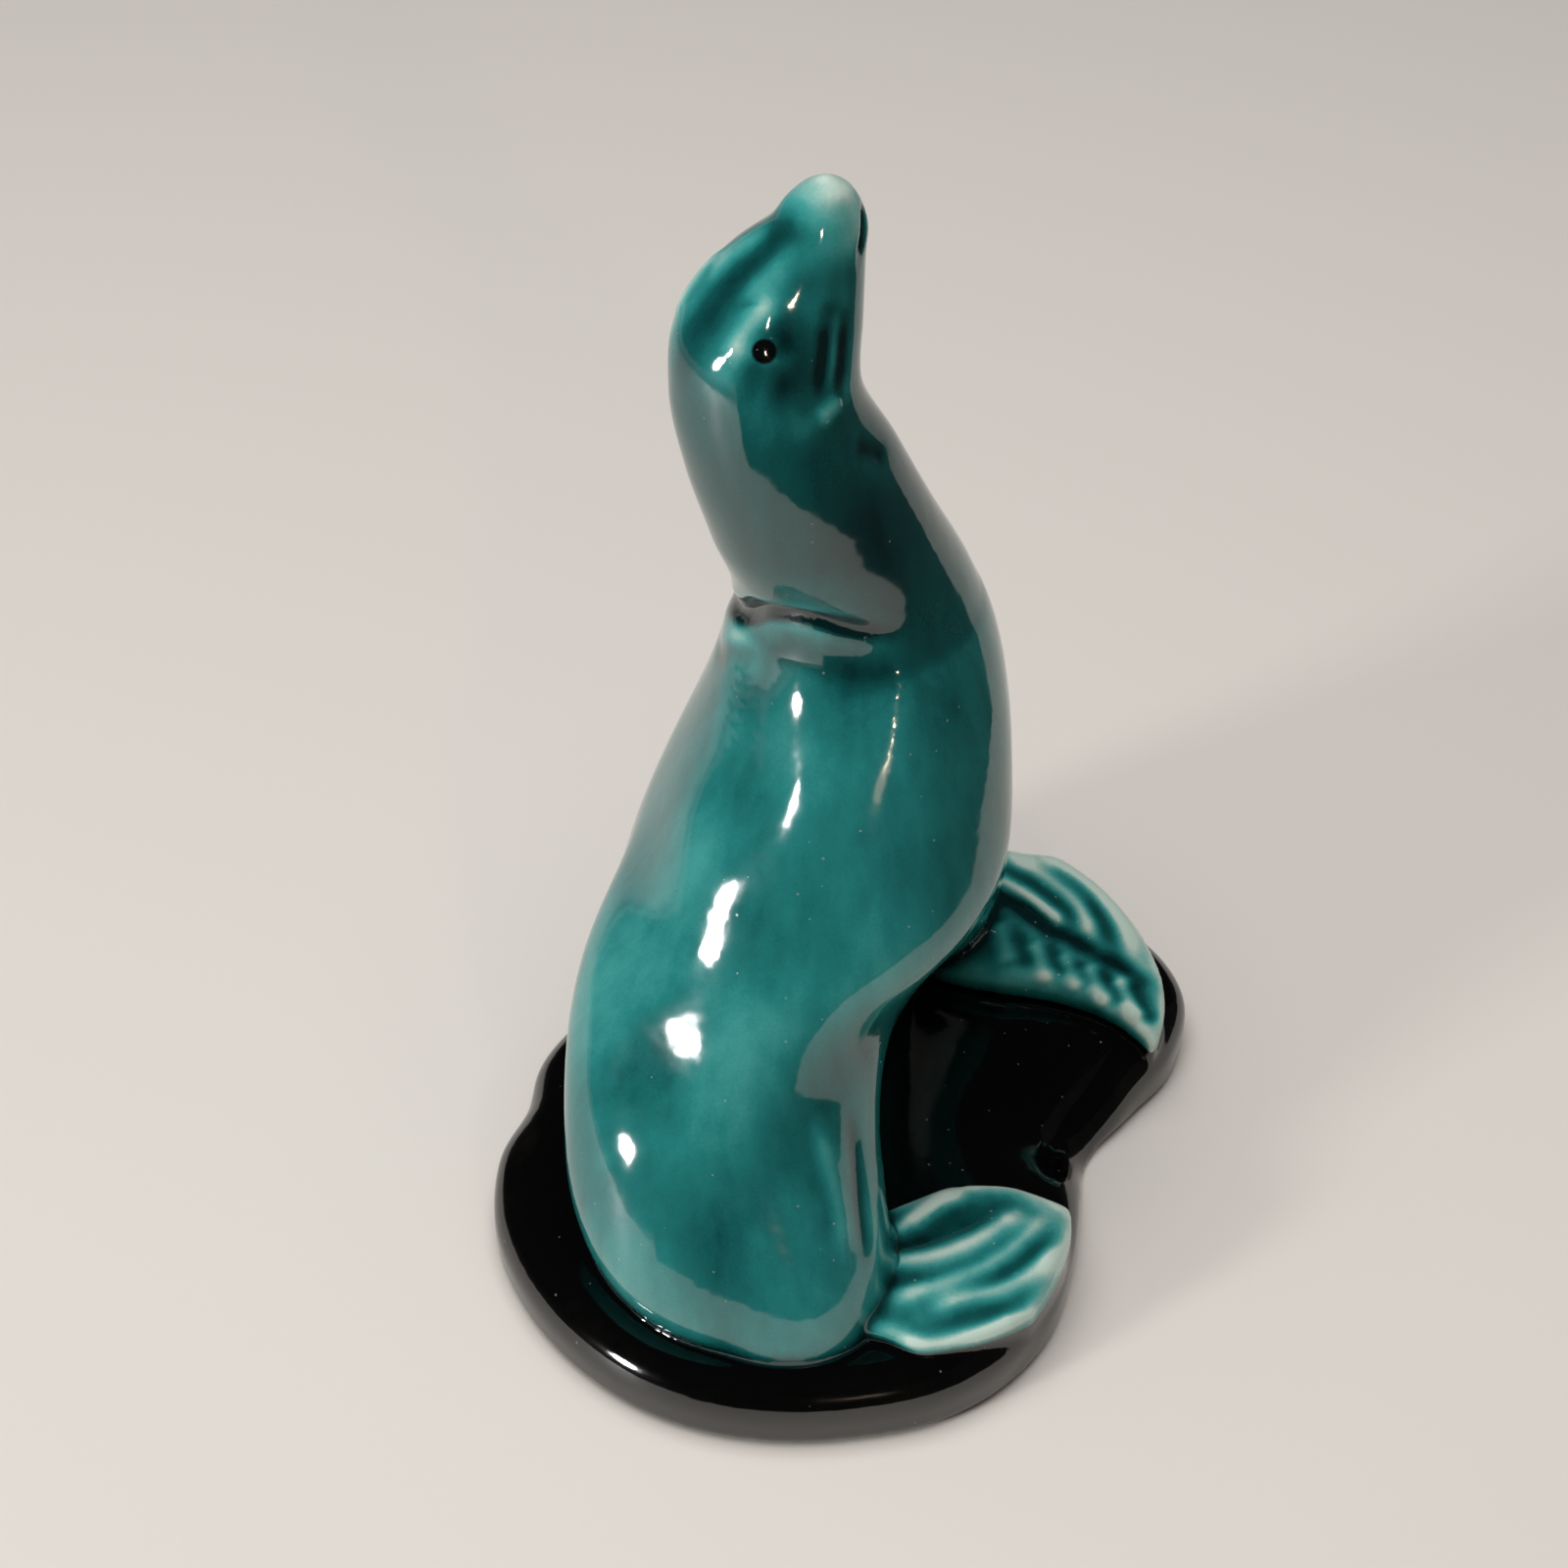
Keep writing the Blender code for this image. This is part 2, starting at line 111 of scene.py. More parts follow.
@dataclass(frozen=True)
class Loft:
    """A closed form through level sections.

    Each row is height, centre x, centre y, mean radius, stretch and heading of the long side.
    """

    rows: Rows

    def rings(self, levels: np.ndarray, around: int, inward: float | np.ndarray = 0.0) -> np.ndarray:
        """Rings of points at the given heights.

        Args:
            levels: heights in millimetres.
            around: points in each ring.
            inward: how far the rings are drawn in.

        Returns:
            An array of rings, points and coordinates.
        """
        table = np.array(self.rows, float)
        lean = np.radians(2 * table[:, 5])
        x = smooth_between(table[:, 0], table[:, 1], levels)
        y = smooth_between(table[:, 0], table[:, 2], levels)
        mean = smooth_between(table[:, 0], table[:, 3], levels) - inward
        along = smooth_between(table[:, 0], table[:, 4] * np.cos(lean), levels)
        across = smooth_between(table[:, 0], table[:, 4] * np.sin(lean), levels)
        turn = np.linspace(0, 2 * math.pi, around, endpoint=False)
        radius = mean[:, None] + along[:, None] * np.cos(2 * turn) + across[:, None] * np.sin(2 * turn)
        level = np.broadcast_to(np.asarray(levels)[:, None], radius.shape)
        return np.stack([x[:, None] + radius * np.cos(turn), y[:, None] + radius * np.sin(turn), level], -1)

    def place(self, turn: float, level: float) -> tuple[float, float, float]:
        """Place on the form at a turn in degrees and a height."""
        table = np.array(self.rows, float)
        x, y, mean, stretch, heading = (smooth_between(table[:, 0], table[:, k], np.array([level]))[0]
                                        for k in range(1, 6))
        angle = math.radians(turn)
        radius = mean + stretch * math.cos(2 * (angle - math.radians(heading)))
        return x + radius * math.cos(angle), y + radius * math.sin(angle), level


# ------------------------------------------------------------------ meshes
def add_loft(mesh: bmesh.types.BMesh, rings: np.ndarray) -> None:
    """Add a closed loft through rings of equal count, capped at both ends."""
    loops = [[mesh.verts.new(p * MM) for p in ring] for ring in rings]
    count = len(loops[0])
    for low, high in zip(loops[:-1], loops[1:]):
        for i in range(count):
            j = (i + 1) % count
            mesh.faces.new((low[i], low[j], high[j], high[i]))
    mesh.faces.new(tuple(reversed(loops[0])))
    mesh.faces.new(tuple(loops[-1]))


def placed(name: str, data: bpy.types.ID) -> bpy.types.Object:
    """New object of the scene with the given data."""
    thing = bpy.data.objects.new(name, data)
    bpy.context.scene.collection.objects.link(thing)
    return thing


def mesh_object(name: str, mesh: bmesh.types.BMesh) -> bpy.types.Object:
    """Turn a built mesh into a named object of the scene, its faces turned outward."""
    bmesh.ops.recalc_face_normals(mesh, faces=mesh.faces)
    return placed(name, plain_mesh(name, mesh))


def plain_mesh(name: str, mesh: bmesh.types.BMesh) -> bpy.types.Mesh:
    """Turn a built mesh into mesh data."""
    data = bpy.data.meshes.new(name)
    mesh.to_mesh(data)
    mesh.free()
    return data


def evaluated_mesh(thing: bpy.types.Object) -> bpy.types.Mesh:
    """Plain mesh of an object with its modifiers worked in; the object is taken away."""
    graph = bpy.context.evaluated_depsgraph_get()
    plain = bpy.data.meshes.new_from_object(thing.evaluated_get(graph))
    bpy.data.objects.remove(thing, do_unlink=True)
    return plain


def skin_over(thing: bpy.types.Object, fineness: float, softening: int) -> None:
    """Wrap an object in one even skin and soften it.

    Args:
        thing: the object that gets the modifiers.
        fineness: the skin's grid in millimetres.
        softening: how many times the skin is evened out.
    """
    skin = thing.modifiers.new("one skin", "REMESH")
    skin.mode = "VOXEL"
    skin.voxel_size = fineness * MM
    soft = thing.modifiers.new("soften", "SMOOTH")
    soft.factor = 0.5
    soft.iterations = softening


def corners_of(mesh: bpy.types.Mesh) -> np.ndarray:
    """Every point of a mesh in millimetres."""
    flat = np.empty(len(mesh.vertices) * 3, np.float32)
    mesh.vertices.foreach_get("co", flat)
    return flat.reshape(-1, 3).astype(float) / MM


def normals_of(mesh: bpy.types.Mesh) -> np.ndarray:
    """Every point's normal."""
    flat = np.empty(len(mesh.vertices) * 3, np.float32)
    mesh.vertices.foreach_get("normal", flat)
    return flat.reshape(-1, 3).astype(float)


@dataclass
class Evening:
    """Repeated averaging of a value over a mesh's neighbouring points."""

    edges: np.ndarray
    count: int
    share: float = 0.5

    @classmethod
    def over(cls, mesh: bpy.types.Mesh) -> "Evening":
        """Averaging over the edges of a mesh."""
        flat = np.empty(len(mesh.edges) * 2, np.int32)
        mesh.edges.foreach_get("vertices", flat)
        return cls(flat.reshape(-1, 2), len(mesh.vertices))

    def run(self, values: np.ndarray, times: int) -> np.ndarray:
        """Values evened out over their neighbours.

        Args:
            values: one number or vector for each point.
            times: how many rounds; in each, a value moves by the share to its neighbours' mean.

        Returns:
            The evened values.
        """
        a, b = self.edges.T
        near = np.bincount(a, minlength=self.count) + np.bincount(b, minlength=self.count)
        near = np.maximum(near, 1)
        columns = values.reshape(self.count, -1).copy()
        for _ in range(times):
            for k in range(columns.shape[1]):
                c = columns[:, k]
                total = np.bincount(a, c[b], self.count) + np.bincount(b, c[a], self.count)
                columns[:, k] = c + self.share * (total / near - c)
        return columns.reshape(values.shape)


# ------------------------------------------------------------------ the seal's masses
@dataclass(frozen=True)
class Trunk:
    """Body, chest, shoulder and thigh under one soft skin."""

    body: Loft
    chest: Loft
    shoulder: Loft
    thigh: Loft
    top: float = 97.0
    fineness: float = 1.0
    softening: int = 86
    swollen: float = 0.45
    levels: int = 70
    around: int = 96

    def skin(self) -> bpy.types.Mesh:
        """Soft skin over the four masses."""
        mesh = bmesh.new()
        for loft in (self.body, self.chest, self.shoulder, self.thigh):
            levels = np.linspace(loft.rows[0][0], min(loft.rows[-1][0], self.top), self.levels)
            add_loft(mesh, loft.rings(levels, self.around, inward=-self.swollen))
        trunk = mesh_object("trunk", mesh)
        skin_over(trunk, self.fineness, self.softening)
        return evaluated_mesh(trunk)


@dataclass(frozen=True)
class Neck:
    """Upper body to the nose, rising out of the trunk."""

    body: Loft
    start: float = 72.5
    level: float = 85.0
    sink: float = 0.8
    levels: int = 240
    around: int = 160

    def rings(self) -> np.ndarray:
        """Rings from inside the trunk to the tip of the nose."""
        heights = np.linspace(self.start, self.body.rows[-1][0], self.levels)
        sunk = self.sink * np.clip((self.level - heights) / (self.level - self.start), 0, 1)
        return self.body.rings(heights, self.around, inward=sunk)


@dataclass(frozen=True)
class Rock:
    """Low rock under the seal, with a rounded shoulder and swells on its top."""

    outline: Rows
    swells: Rows
    width: float = 106.0
    depth: float = 108.5
    top: float = 10.5
    foot_inset: float = 1.4
    foot_height: float = 1.6
    shoulder: float = 5.5
    around: int = 260
    foot_shares: tuple[float, ...] = (0.02, 0.35, 0.7, 1.0)
    shoulder_angles: tuple[float, ...] = (15, 30, 45, 60, 75, 90)
    top_shares: tuple[float, ...] = (0.96, 0.9, 0.82, 0.75, 0.65, 0.55, 0.42, 0.3, 0.15, 0.02)

    def height(self, x: np.ndarray, y: np.ndarray) -> np.ndarray:
        """Height of the rock's top at x and y."""
        height = np.full(np.shape(x), self.top)
        for middle_x, middle_y, rise, reach_x, reach_y in self.swells:
            height += rise * np.exp(-(((x - middle_x) / reach_x) ** 2) - ((y - middle_y) / reach_y) ** 2)
        return height

    def rings(self) -> np.ndarray:
        """Rings from the middle of the underside, out and up the wall, and back over the top."""
        outline = closed_curve(np.array(self.outline) * (self.width, self.depth), self.around)
        middle = outline.mean(axis=0)
        foot = inset(outline, self.foot_inset)
        rings = [np.column_stack([middle + (foot - middle) * share, np.zeros(len(outline))])
                 for share in self.foot_shares]
        top = self.height(outline[:, 0], outline[:, 1])
        rings.append(np.column_stack([outline, np.full(len(outline), self.foot_height)]))
        rings.append(np.column_stack([outline, top - self.shoulder]))
        for angle in self.shoulder_angles:
            back = self.shoulder * (1 - math.cos(math.radians(angle)))
            lift = self.shoulder * math.sin(math.radians(angle))
            rings.append(np.column_stack([inset(outline, back), top - self.shoulder + lift]))
        shoulder = inset(outline, self.shoulder)
        for share in self.top_shares:
            ring = middle + (shoulder - middle) * share
            rings.append(np.column_stack([ring, self.height(ring[:, 0], ring[:, 1])]))
        return np.array(rings)


# ------------------------------------------------------------------ node trees
class NodeSheet:
    """Short ways to lay nodes on a tree. Sockets that share a name are given by their number, as i0."""

    MIX_COLOURS = (6, 7)
    MIXED_COLOUR = 2

    def __init__(self, tree: bpy.types.NodeTree) -> None:
        """Start on an empty tree."""
        self.tree = tree
        tree.nodes.clear()

    def add(self, kind: str, settings: dict | None = None, **inputs: object) -> bpy.types.Node:
        """New node with its settings and inputs; a socket given as input is linked.

        Args:
            kind: the node's type.
            settings: properties set on the node.
            inputs: values or sockets by the input's name, with underscores for spaces.

        Returns:
            The node.
        """
        node = self.tree.nodes.new(kind)
        for key, value in (settings or {}).items():
            setattr(node, key, value)
        for key, value in inputs.items():
            numbered = key[0] == "i" and key[1:].isdigit()
            slot = node.inputs[int(key[1:]) if numbered else key.replace("_", " ")]
            if isinstance(value, bpy.types.NodeSocket):
                self.tree.links.new(value, slot)
            else:
                slot.default_value = value
        return node

    def maths(self, kind: str, a: object, b: object = 0.0) -> bpy.types.NodeSocket:
        """Result of one sum."""
        return self.add("ShaderNodeMath", {"operation": kind}, i0=a, i1=b).outputs[0]

    def plus(self, a: object, b: object, share: float) -> bpy.types.NodeSocket:
        """Sum of a and a share of b."""
        return self.maths("ADD", a, self.maths("MULTIPLY", b, share))

    def stored(self, name: Stored) -> bpy.types.NodeSocket:
        """Number stored at the mesh's points."""
        return self.add("ShaderNodeAttribute", {"attribute_name": name.value}).outputs["Fac"]

    def noise(self, where: object, scale: float, detail: float = 2.0,
              rough: float = 0.5) -> bpy.types.NodeSocket:
        """Soft noise around a half."""
        return self.add("ShaderNodeTexNoise", None, Vector=where, Scale=scale, Detail=detail,
                        Roughness=rough).outputs["Fac"]

    def mapped(self, where: object, low: float, high: float, to_low: float = 0.0, to_high: float = 1.0,
               smooth: bool = False) -> bpy.types.NodeSocket:
        """Value carried from one range to another and held inside it."""
        kind = "SMOOTHSTEP" if smooth else "LINEAR"
        node = self.add("ShaderNodeMapRange", {"clamp": True, "interpolation_type": kind}, Value=where)
        for name, value in (("From Min", low), ("From Max", high), ("To Min", to_low), ("To Max", to_high)):
            node.inputs[name].default_value = value
        return node.outputs["Result"]

    def ramp(self, where: object, stops: Stops) -> bpy.types.NodeSocket:
        """Colour read along stops."""
        node = self.add("ShaderNodeValToRGB", None, Fac=where)
        marks = node.color_ramp.elements
        while len(marks) < len(stops):
            marks.new(0.5)
        for mark, (place, colour) in zip(marks, stops):
            mark.position = place
            mark.color = (*colour, 1)
        return node.outputs["Color"]

    def mixed(self, share: object, a: object, b: object) -> bpy.types.NodeSocket:
        """Two colours mixed by a share."""
        node = self.add("ShaderNodeMix", {"data_type": "RGBA"}, i0=share)
        for number, value in zip(self.MIX_COLOURS, (a, b)):
            if isinstance(value, bpy.types.NodeSocket):
                self.tree.links.new(value, node.inputs[number])
            else:
                node.inputs[number].default_value = (*value, 1)
        return node.outputs[self.MIXED_COLOUR]


# ------------------------------------------------------------------ modelling strokes
@dataclass(frozen=True)
class Stroke:
    """A line in the wet clay: depth pressed in along a path, negative where it stands proud."""

    path: Rows
    depth: float
    width: float
    end_fade: float = 0.3
    spacing: float = 0.25
    faintest: float = 0.1

    def line(self, name: str) -> bpy.types.Object:
        """The path as a fine line of points, each with the stroke's strength there.

        Args:
            name: name of the line's object.

        Returns:
            The object, linked to the scene.
        """
        path = np.array(self.path, float)
        run = np.concatenate([[0], np.cumsum(np.linalg.norm(np.diff(path, axis=0), axis=1))])
        at = np.linspace(0, run[-1], max(2, int(run[-1] / self.spacing) + 1))
        points = np.stack([smooth_between(run, path[:, k], at) for k in range(3)], -1)
        strength = np.ones(len(at))
        if self.end_fade > 0:
            strength = np.clip(np.minimum(at, run[-1] - at) / (self.end_fade * run[-1]), 0, 1)
            strength = self.faintest + (1 - self.faintest) * strength * strength * (3 - 2 * strength)
        data = bpy.data.meshes.new(name)
        data.from_pydata((points * MM).tolist(), [(k, k + 1) for k in range(len(at) - 1)], [])
        values = data.attributes.new("strength", "FLOAT", "POINT").data
        values.foreach_set("value", strength.astype(np.float32))
        return placed(name, data)


class PressTree:
    """Geometry nodes that press a line into the clay, or raise one out of it, along its normals."""

    def __init__(self) -> None:
        """Build the tree once."""
        tree = bpy.data.node_groups.new("press along a line", "GeometryNodeTree")
        face = tree.interface
        for name, kind in (("Clay", "Geometry"), ("Line", "Object"), ("Depth", "Float"), ("Width", "Float"),
                           ("Glaze", "Material")):
            face.new_socket(name, in_out="INPUT", socket_type="NodeSocket" + kind)
        face.new_socket("Pressed clay", in_out="OUTPUT", socket_type="NodeSocketGeometry")
        sheet = NodeSheet(tree)
        given = sheet.add("NodeGroupInput").outputs
        line = sheet.add("GeometryNodeObjectInfo", None, Object=given["Line"]).outputs["Geometry"]
        place = sheet.add("GeometryNodeInputPosition").outputs[0]
        nearest = sheet.add("GeometryNodeSampleNearest", {"domain": "POINT"}, Geometry=line,
                            Sample_Position=place).outputs[0]
        on_line = sheet.add("GeometryNodeSampleIndex", {"data_type": "FLOAT_VECTOR", "domain": "POINT"},
                            Geometry=line, Value=place, Index=nearest).outputs[0]
        strength = sheet.add("GeometryNodeInputNamedAttribute", {"data_type": "FLOAT"},
                             Name="strength").outputs[0]
        strength = sheet.add("GeometryNodeSampleIndex", {"data_type": "FLOAT", "domain": "POINT"},
                             Geometry=line, Value=strength, Index=nearest).outputs[0]
        apart = sheet.add("ShaderNodeVectorMath", {"operation": "DISTANCE"}, i0=place,
                          i1=on_line).outputs["Value"]
        share = sheet.maths("POWER", sheet.maths("DIVIDE", apart, given["Width"]), 2.0)
        profile = sheet.maths("EXPONENT", sheet.maths("MULTIPLY", share, -1.0))
        depth = sheet.maths("MULTIPLY", sheet.maths("MULTIPLY", given["Depth"], -1.0), profile)
        inward = sheet.add("ShaderNodeVectorMath", {"operation": "SCALE"},
                           i0=sheet.add("GeometryNodeInputNormal").outputs[0],
                           Scale=sheet.maths("MULTIPLY", depth, strength)).outputs[0]
        moved = sheet.add("GeometryNodeSetPosition", None, Geometry=given["Clay"], Offset=inward).outputs[0]
        real = sheet.add("GeometryNodeRealizeInstances", None, Geometry=moved).outputs[0]
        dressed = sheet.add("GeometryNodeSetMaterial", None, Geometry=real,
                            Material=given["Glaze"]).outputs[0]
        tree.links.new(dressed, sheet.add("NodeGroupOutput").inputs[0])
        self.tree = tree
        self.keys = {item.name: item.identifier for item in face.items_tree if item.in_out == "INPUT"}

    def press(self, clay: bpy.types.Object, strokes: list[Stroke],
              glaze: bpy.types.Material) -> bpy.types.Mesh:
        """Press every stroke into an object.

        Args:
            clay: the object; it is taken away.
            strokes: the strokes in order.
            glaze: material of the pressed clay.

        Returns:
            The pressed mesh.
        """
        lines = [stroke.line(f"line {k}") for k, stroke in enumerate(strokes)]
        for stroke, line in zip(strokes, lines):
            step = clay.modifiers.new(line.name, "NODES")
            step.node_group = self.tree
            for name, value in (("Line", line), ("Depth", stroke.depth * MM),
                                ("Width", stroke.width * MM), ("Glaze", glaze)):
                step[self.keys[name]] = value
        pressed = evaluated_mesh(clay)
        for line in lines:
            bpy.data.objects.remove(line, do_unlink=True)
        return pressed


@dataclass(frozen=True)
class BodyLine:
    """A stroke round the body, given as turn in degrees and level as a share of the height."""

    path: Rows
    depth: float
    width: float
    end_fade: float = 0.3

    def places(self, body: Loft) -> Rows:
        """The line's places on the body's surface in millimetres."""
        return tuple(body.place(turn, share * HEIGHT) for turn, share in self.path)

    def stroke(self, body: Loft) -> Stroke:
        """The line as a stroke in the clay."""
        return Stroke(self.places(body), self.depth, self.width, self.end_fade)

    def run(self, body: Loft) -> "ToneLine":
        """The line as a paler or darker line of colour, its depth taken as the amount."""
        return ToneLine(self.places(body), self.depth, self.width)


@dataclass(frozen=True)
class ToneLine:
    """Colour drawn paler, or darker where the amount is negative, along a path: glaze that lies thin or
    pooled, and in places painted light, shade and reflection.
    """

    path: Rows
    amount: float
    width: float
    steps: int = 6
    reach: float = 3.0

    def over(self, points: np.ndarray) -> np.ndarray:
        """How much paler the colour is drawn at each point, by the glaze and by painted light.

        Args:
            points: the mesh's points in millimetres.

        Returns:
            One number for each point.
        """
        path = np.array(self.path, float)
        knots = np.arange(len(path), dtype=float)
        at = np.linspace(0, len(path) - 1, self.steps * len(path))
        places = np.stack([smooth_between(knots, path[:, k], at) for k in range(3)], -1)
        glaze_and_painted_light = np.zeros(len(points))
        margin = self.reach * self.width
        inside = (points > places.min(0) - margin) & (points < places.max(0) + margin)
        near = np.flatnonzero(inside.all(1))
        apart = np.full(len(near), np.inf)
        for place in places:
            apart = np.minimum(apart, ((points[near] - place) ** 2).sum(1))
        glaze_and_painted_light[near] = self.amount * np.exp(-apart / self.width**2)
        return glaze_and_painted_light


@dataclass(frozen=True)
class Face:
    """The face, the same on both sides: lines, glaze runs with a painted reflection on the cheeks, and eyes
    by turn from where the head faces.
    """

    heading: float
    lines: tuple[BodyLine, ...]
    runs: tuple[BodyLine, ...]
    eye: tuple[float, float]
    eye_radius: float
    eye_rise: float = 0.15
    bead_reach: float = 0.15

    def both_sides(self, lines: tuple[BodyLine, ...]) -> list[BodyLine]:
        """The given lines on both sides of the head."""
        return [BodyLine(tuple((self.heading + side * turn, share) for turn, share in line.path), line.depth,
                         line.width, line.end_fade) for side in (-1, 1) for line in lines]

    def eyes(self, body: Loft) -> list[tuple[float, float, float]]:
        """Middles of both eyes on the body's surface."""
        turn, share = self.eye
        return [body.place(self.heading + side * turn, share * HEIGHT) for side in (-1, 1)]

    def beads(self, body: Loft) -> list[Stroke]:
        """The eyes as low beads on the clay."""
        return [Stroke(((x, y, z - self.bead_reach), (x, y, z + self.bead_reach)),
                       -self.eye_rise * self.eye_radius, self.eye_radius, 0.0) for x, y, z in self.eyes(body)]


# ------------------------------------------------------------------ flippers
@dataclass(frozen=True)
class Rib:
    """A rib of a flipper: its line as shares from root to tip and across, its height and half width."""

    path: Rows
    height: float
    width: float


@dataclass(frozen=True)
class Flipper:
    """Fan between four corners of its upper face, closed down into the rock, with ribs pressed on it.

    The corners run from the root along the lower side to the tip and back along the upper side,
    each x, y and height above the rock's top. The lower and upper edges say how far across the fan
    reaches at shares of the way to the tip.
    """

    name: str
    corners: Rows
    ribs: tuple[Rib, ...]
    bulge: float
    lower: Rows = ((0.0, 0.0), (1.0, 0.0))
    upper: Rows = ((0.0, 1.0), (1.0, 1.0))
    crown: float = 1.2
    crown_fall: float = 0.4
    rim: float = 0.09
    rim_drop: float = 0.9
    back_slope: float = 0.0
    back_sink: float = 1.5
    back_curve: float = 1.6
    back_rows: int = 20
    edge_span: int = 6
    sink: float = 5.5
    rock_top: float = 10.5
    rib_fade: float = 0.2
    rib_paleness: float = 0.17
    rib_spread: float = 1.15

    def place(self, u: np.ndarray, w: np.ndarray) -> np.ndarray:
        """Places on the fan's smooth face.

        Args:
            u: shares of the way from root to tip.
            w: shares of the way from the lower to the upper side.

        Returns:
            One place for each pair of shares.
        """
        low_root, low_tip, high_tip, high_root = np.array(self.corners, float) + (0, 0, self.rock_top)
        lower = low_root + (low_tip - low_root) * u[..., None]
        upper = high_root + (high_tip - high_root) * u[..., None]
        across = (upper - lower) * (1, 1, 0)
        across /= np.linalg.norm(across, axis=-1)[..., None]
        along = (low_tip - low_root + high_tip - high_root) * (1, 1, 0)
        along /= np.linalg.norm(along)
        face = lower + (upper - lower) * w[..., None]
        face = face + across * (self.bulge * 8 * u * (1 - u) * (w - 0.5))[..., None]
        face = face + along * (self.bulge * 4 * w * (1 - w) * u)[..., None]
        face[..., 2] += self.crown * np.sin(math.pi * np.clip(w, 0, 1)) * (1 - self.crown_fall * u)
        return face

    def face(self, rows: int = 81, columns: int = 65) -> np.ndarray:
        """Grid of places over the fan, with its back slope where it has one.

        Args:
            rows: places from root to tip.
            columns: places across.

        Returns:
            An array of rows, columns and coordinates.
        """
        u, share = np.meshgrid(np.linspace(0, 1, rows), np.linspace(0, 1, columns), indexing="ij")
        low, high = (smooth_between(*np.array(edge, float).T, u.ravel()).reshape(u.shape)
                     for edge in (self.lower, self.upper))
        face = self.place(u, low + (high - low) * share)
        gap = np.minimum(np.minimum(share, 1 - share), 1 - u) / self.rim
        face[..., 2] -= self.rim_drop * np.clip(1 - gap, 0, 1) ** 2
        if self.back_slope > 0:
            edge = face[:, -1]
            outward = (edge - face[:, -self.edge_span]) * (1, 1, 0)
            outward /= np.linalg.norm(outward, axis=-1)[:, None]
            slope = []
            for reach in np.linspace(1 / self.back_rows, 1, self.back_rows):
                row = edge + outward * self.back_slope * reach
                drop = self.rock_top - self.back_sink - edge[:, 2]
                row[:, 2] = edge[:, 2] + drop * reach**self.back_curve
                slope.append(row)
            face = np.concatenate([face, np.stack(slope, 1)], 1)
        return face

    def slab(self) -> tuple[bpy.types.Mesh, bpy.types.Mesh]:
        """Closed slab under the fan, and its upper face alone."""
        face = self.face()
        under = face.copy()
        under[..., 2] = self.rock_top - self.sink
        rows, columns = face.shape[:2]
        closed, top = bmesh.new(), bmesh.new()
        high, low = ([[closed.verts.new(p * MM) for p in row] for row in shape] for shape in (face, under))
        skin = [[top.verts.new(p * MM) for p in row] for row in face]
        for i in range(rows - 1):
            for j in range(columns - 1):
                closed.faces.new((high[i][j], high[i + 1][j], high[i + 1][j + 1], high[i][j + 1]))
                closed.faces.new((low[i][j], low[i][j + 1], low[i + 1][j + 1], low[i + 1][j]))
                top.faces.new((skin[i][j], skin[i + 1][j], skin[i + 1][j + 1], skin[i][j + 1]))
        edge = [(i, 0) for i in range(rows)] + [(rows - 1, j) for j in range(1, columns)]
        edge += [(i, columns - 1) for i in range(rows - 2, -1, -1)]
        edge += [(0, j) for j in range(columns - 2, 0, -1)]
        for (a, b), (c, d) in zip(edge, edge[1:] + edge[:1]):
            closed.faces.new((low[a][b], low[c][d], high[c][d], high[a][b]))
        bmesh.ops.recalc_face_normals(closed, faces=closed.faces)
        return plain_mesh(self.name, closed), plain_mesh(self.name + " face", top)

    def strokes(self) -> list[Stroke]:
        """The ribs as strokes on the fan."""
        strokes = []
        for rib in self.ribs:
            u, w = np.array(rib.path, float).T
            places = self.place(u, w)
            strokes.append(Stroke(tuple(map(tuple, places)), -rib.height, rib.width, self.rib_fade))
        return strokes

    def runs(self) -> list[ToneLine]:
        """The glaze drawn thin over the ribs and lying thick in the valleys."""
        return [ToneLine(stroke.path, -self.rib_paleness * stroke.depth, self.rib_spread * stroke.width)
                for stroke in self.strokes()]


# ------------------------------------------------------------------ glaze
@dataclass(frozen=True)
class Unevenness:
    """Noise in how thin the glaze lies; it runs down the seal where the upright share is low."""

    scale: float
    detail: float
    rough: float
    upright: float
    share: float

    def added(self, sheet: NodeSheet, place: bpy.types.NodeSocket,
              thin: bpy.types.NodeSocket) -> bpy.types.NodeSocket:
        """Thinness with this noise in it."""
        where = sheet.add("ShaderNodeMapping", None, Vector=place, Scale=(1.0, 1.0, self.upright)).outputs[0]
        noise = sheet.noise(where, self.scale, self.detail, self.rough)
        return sheet.plus(thin, sheet.maths("SUBTRACT", noise, 0.5), self.share)


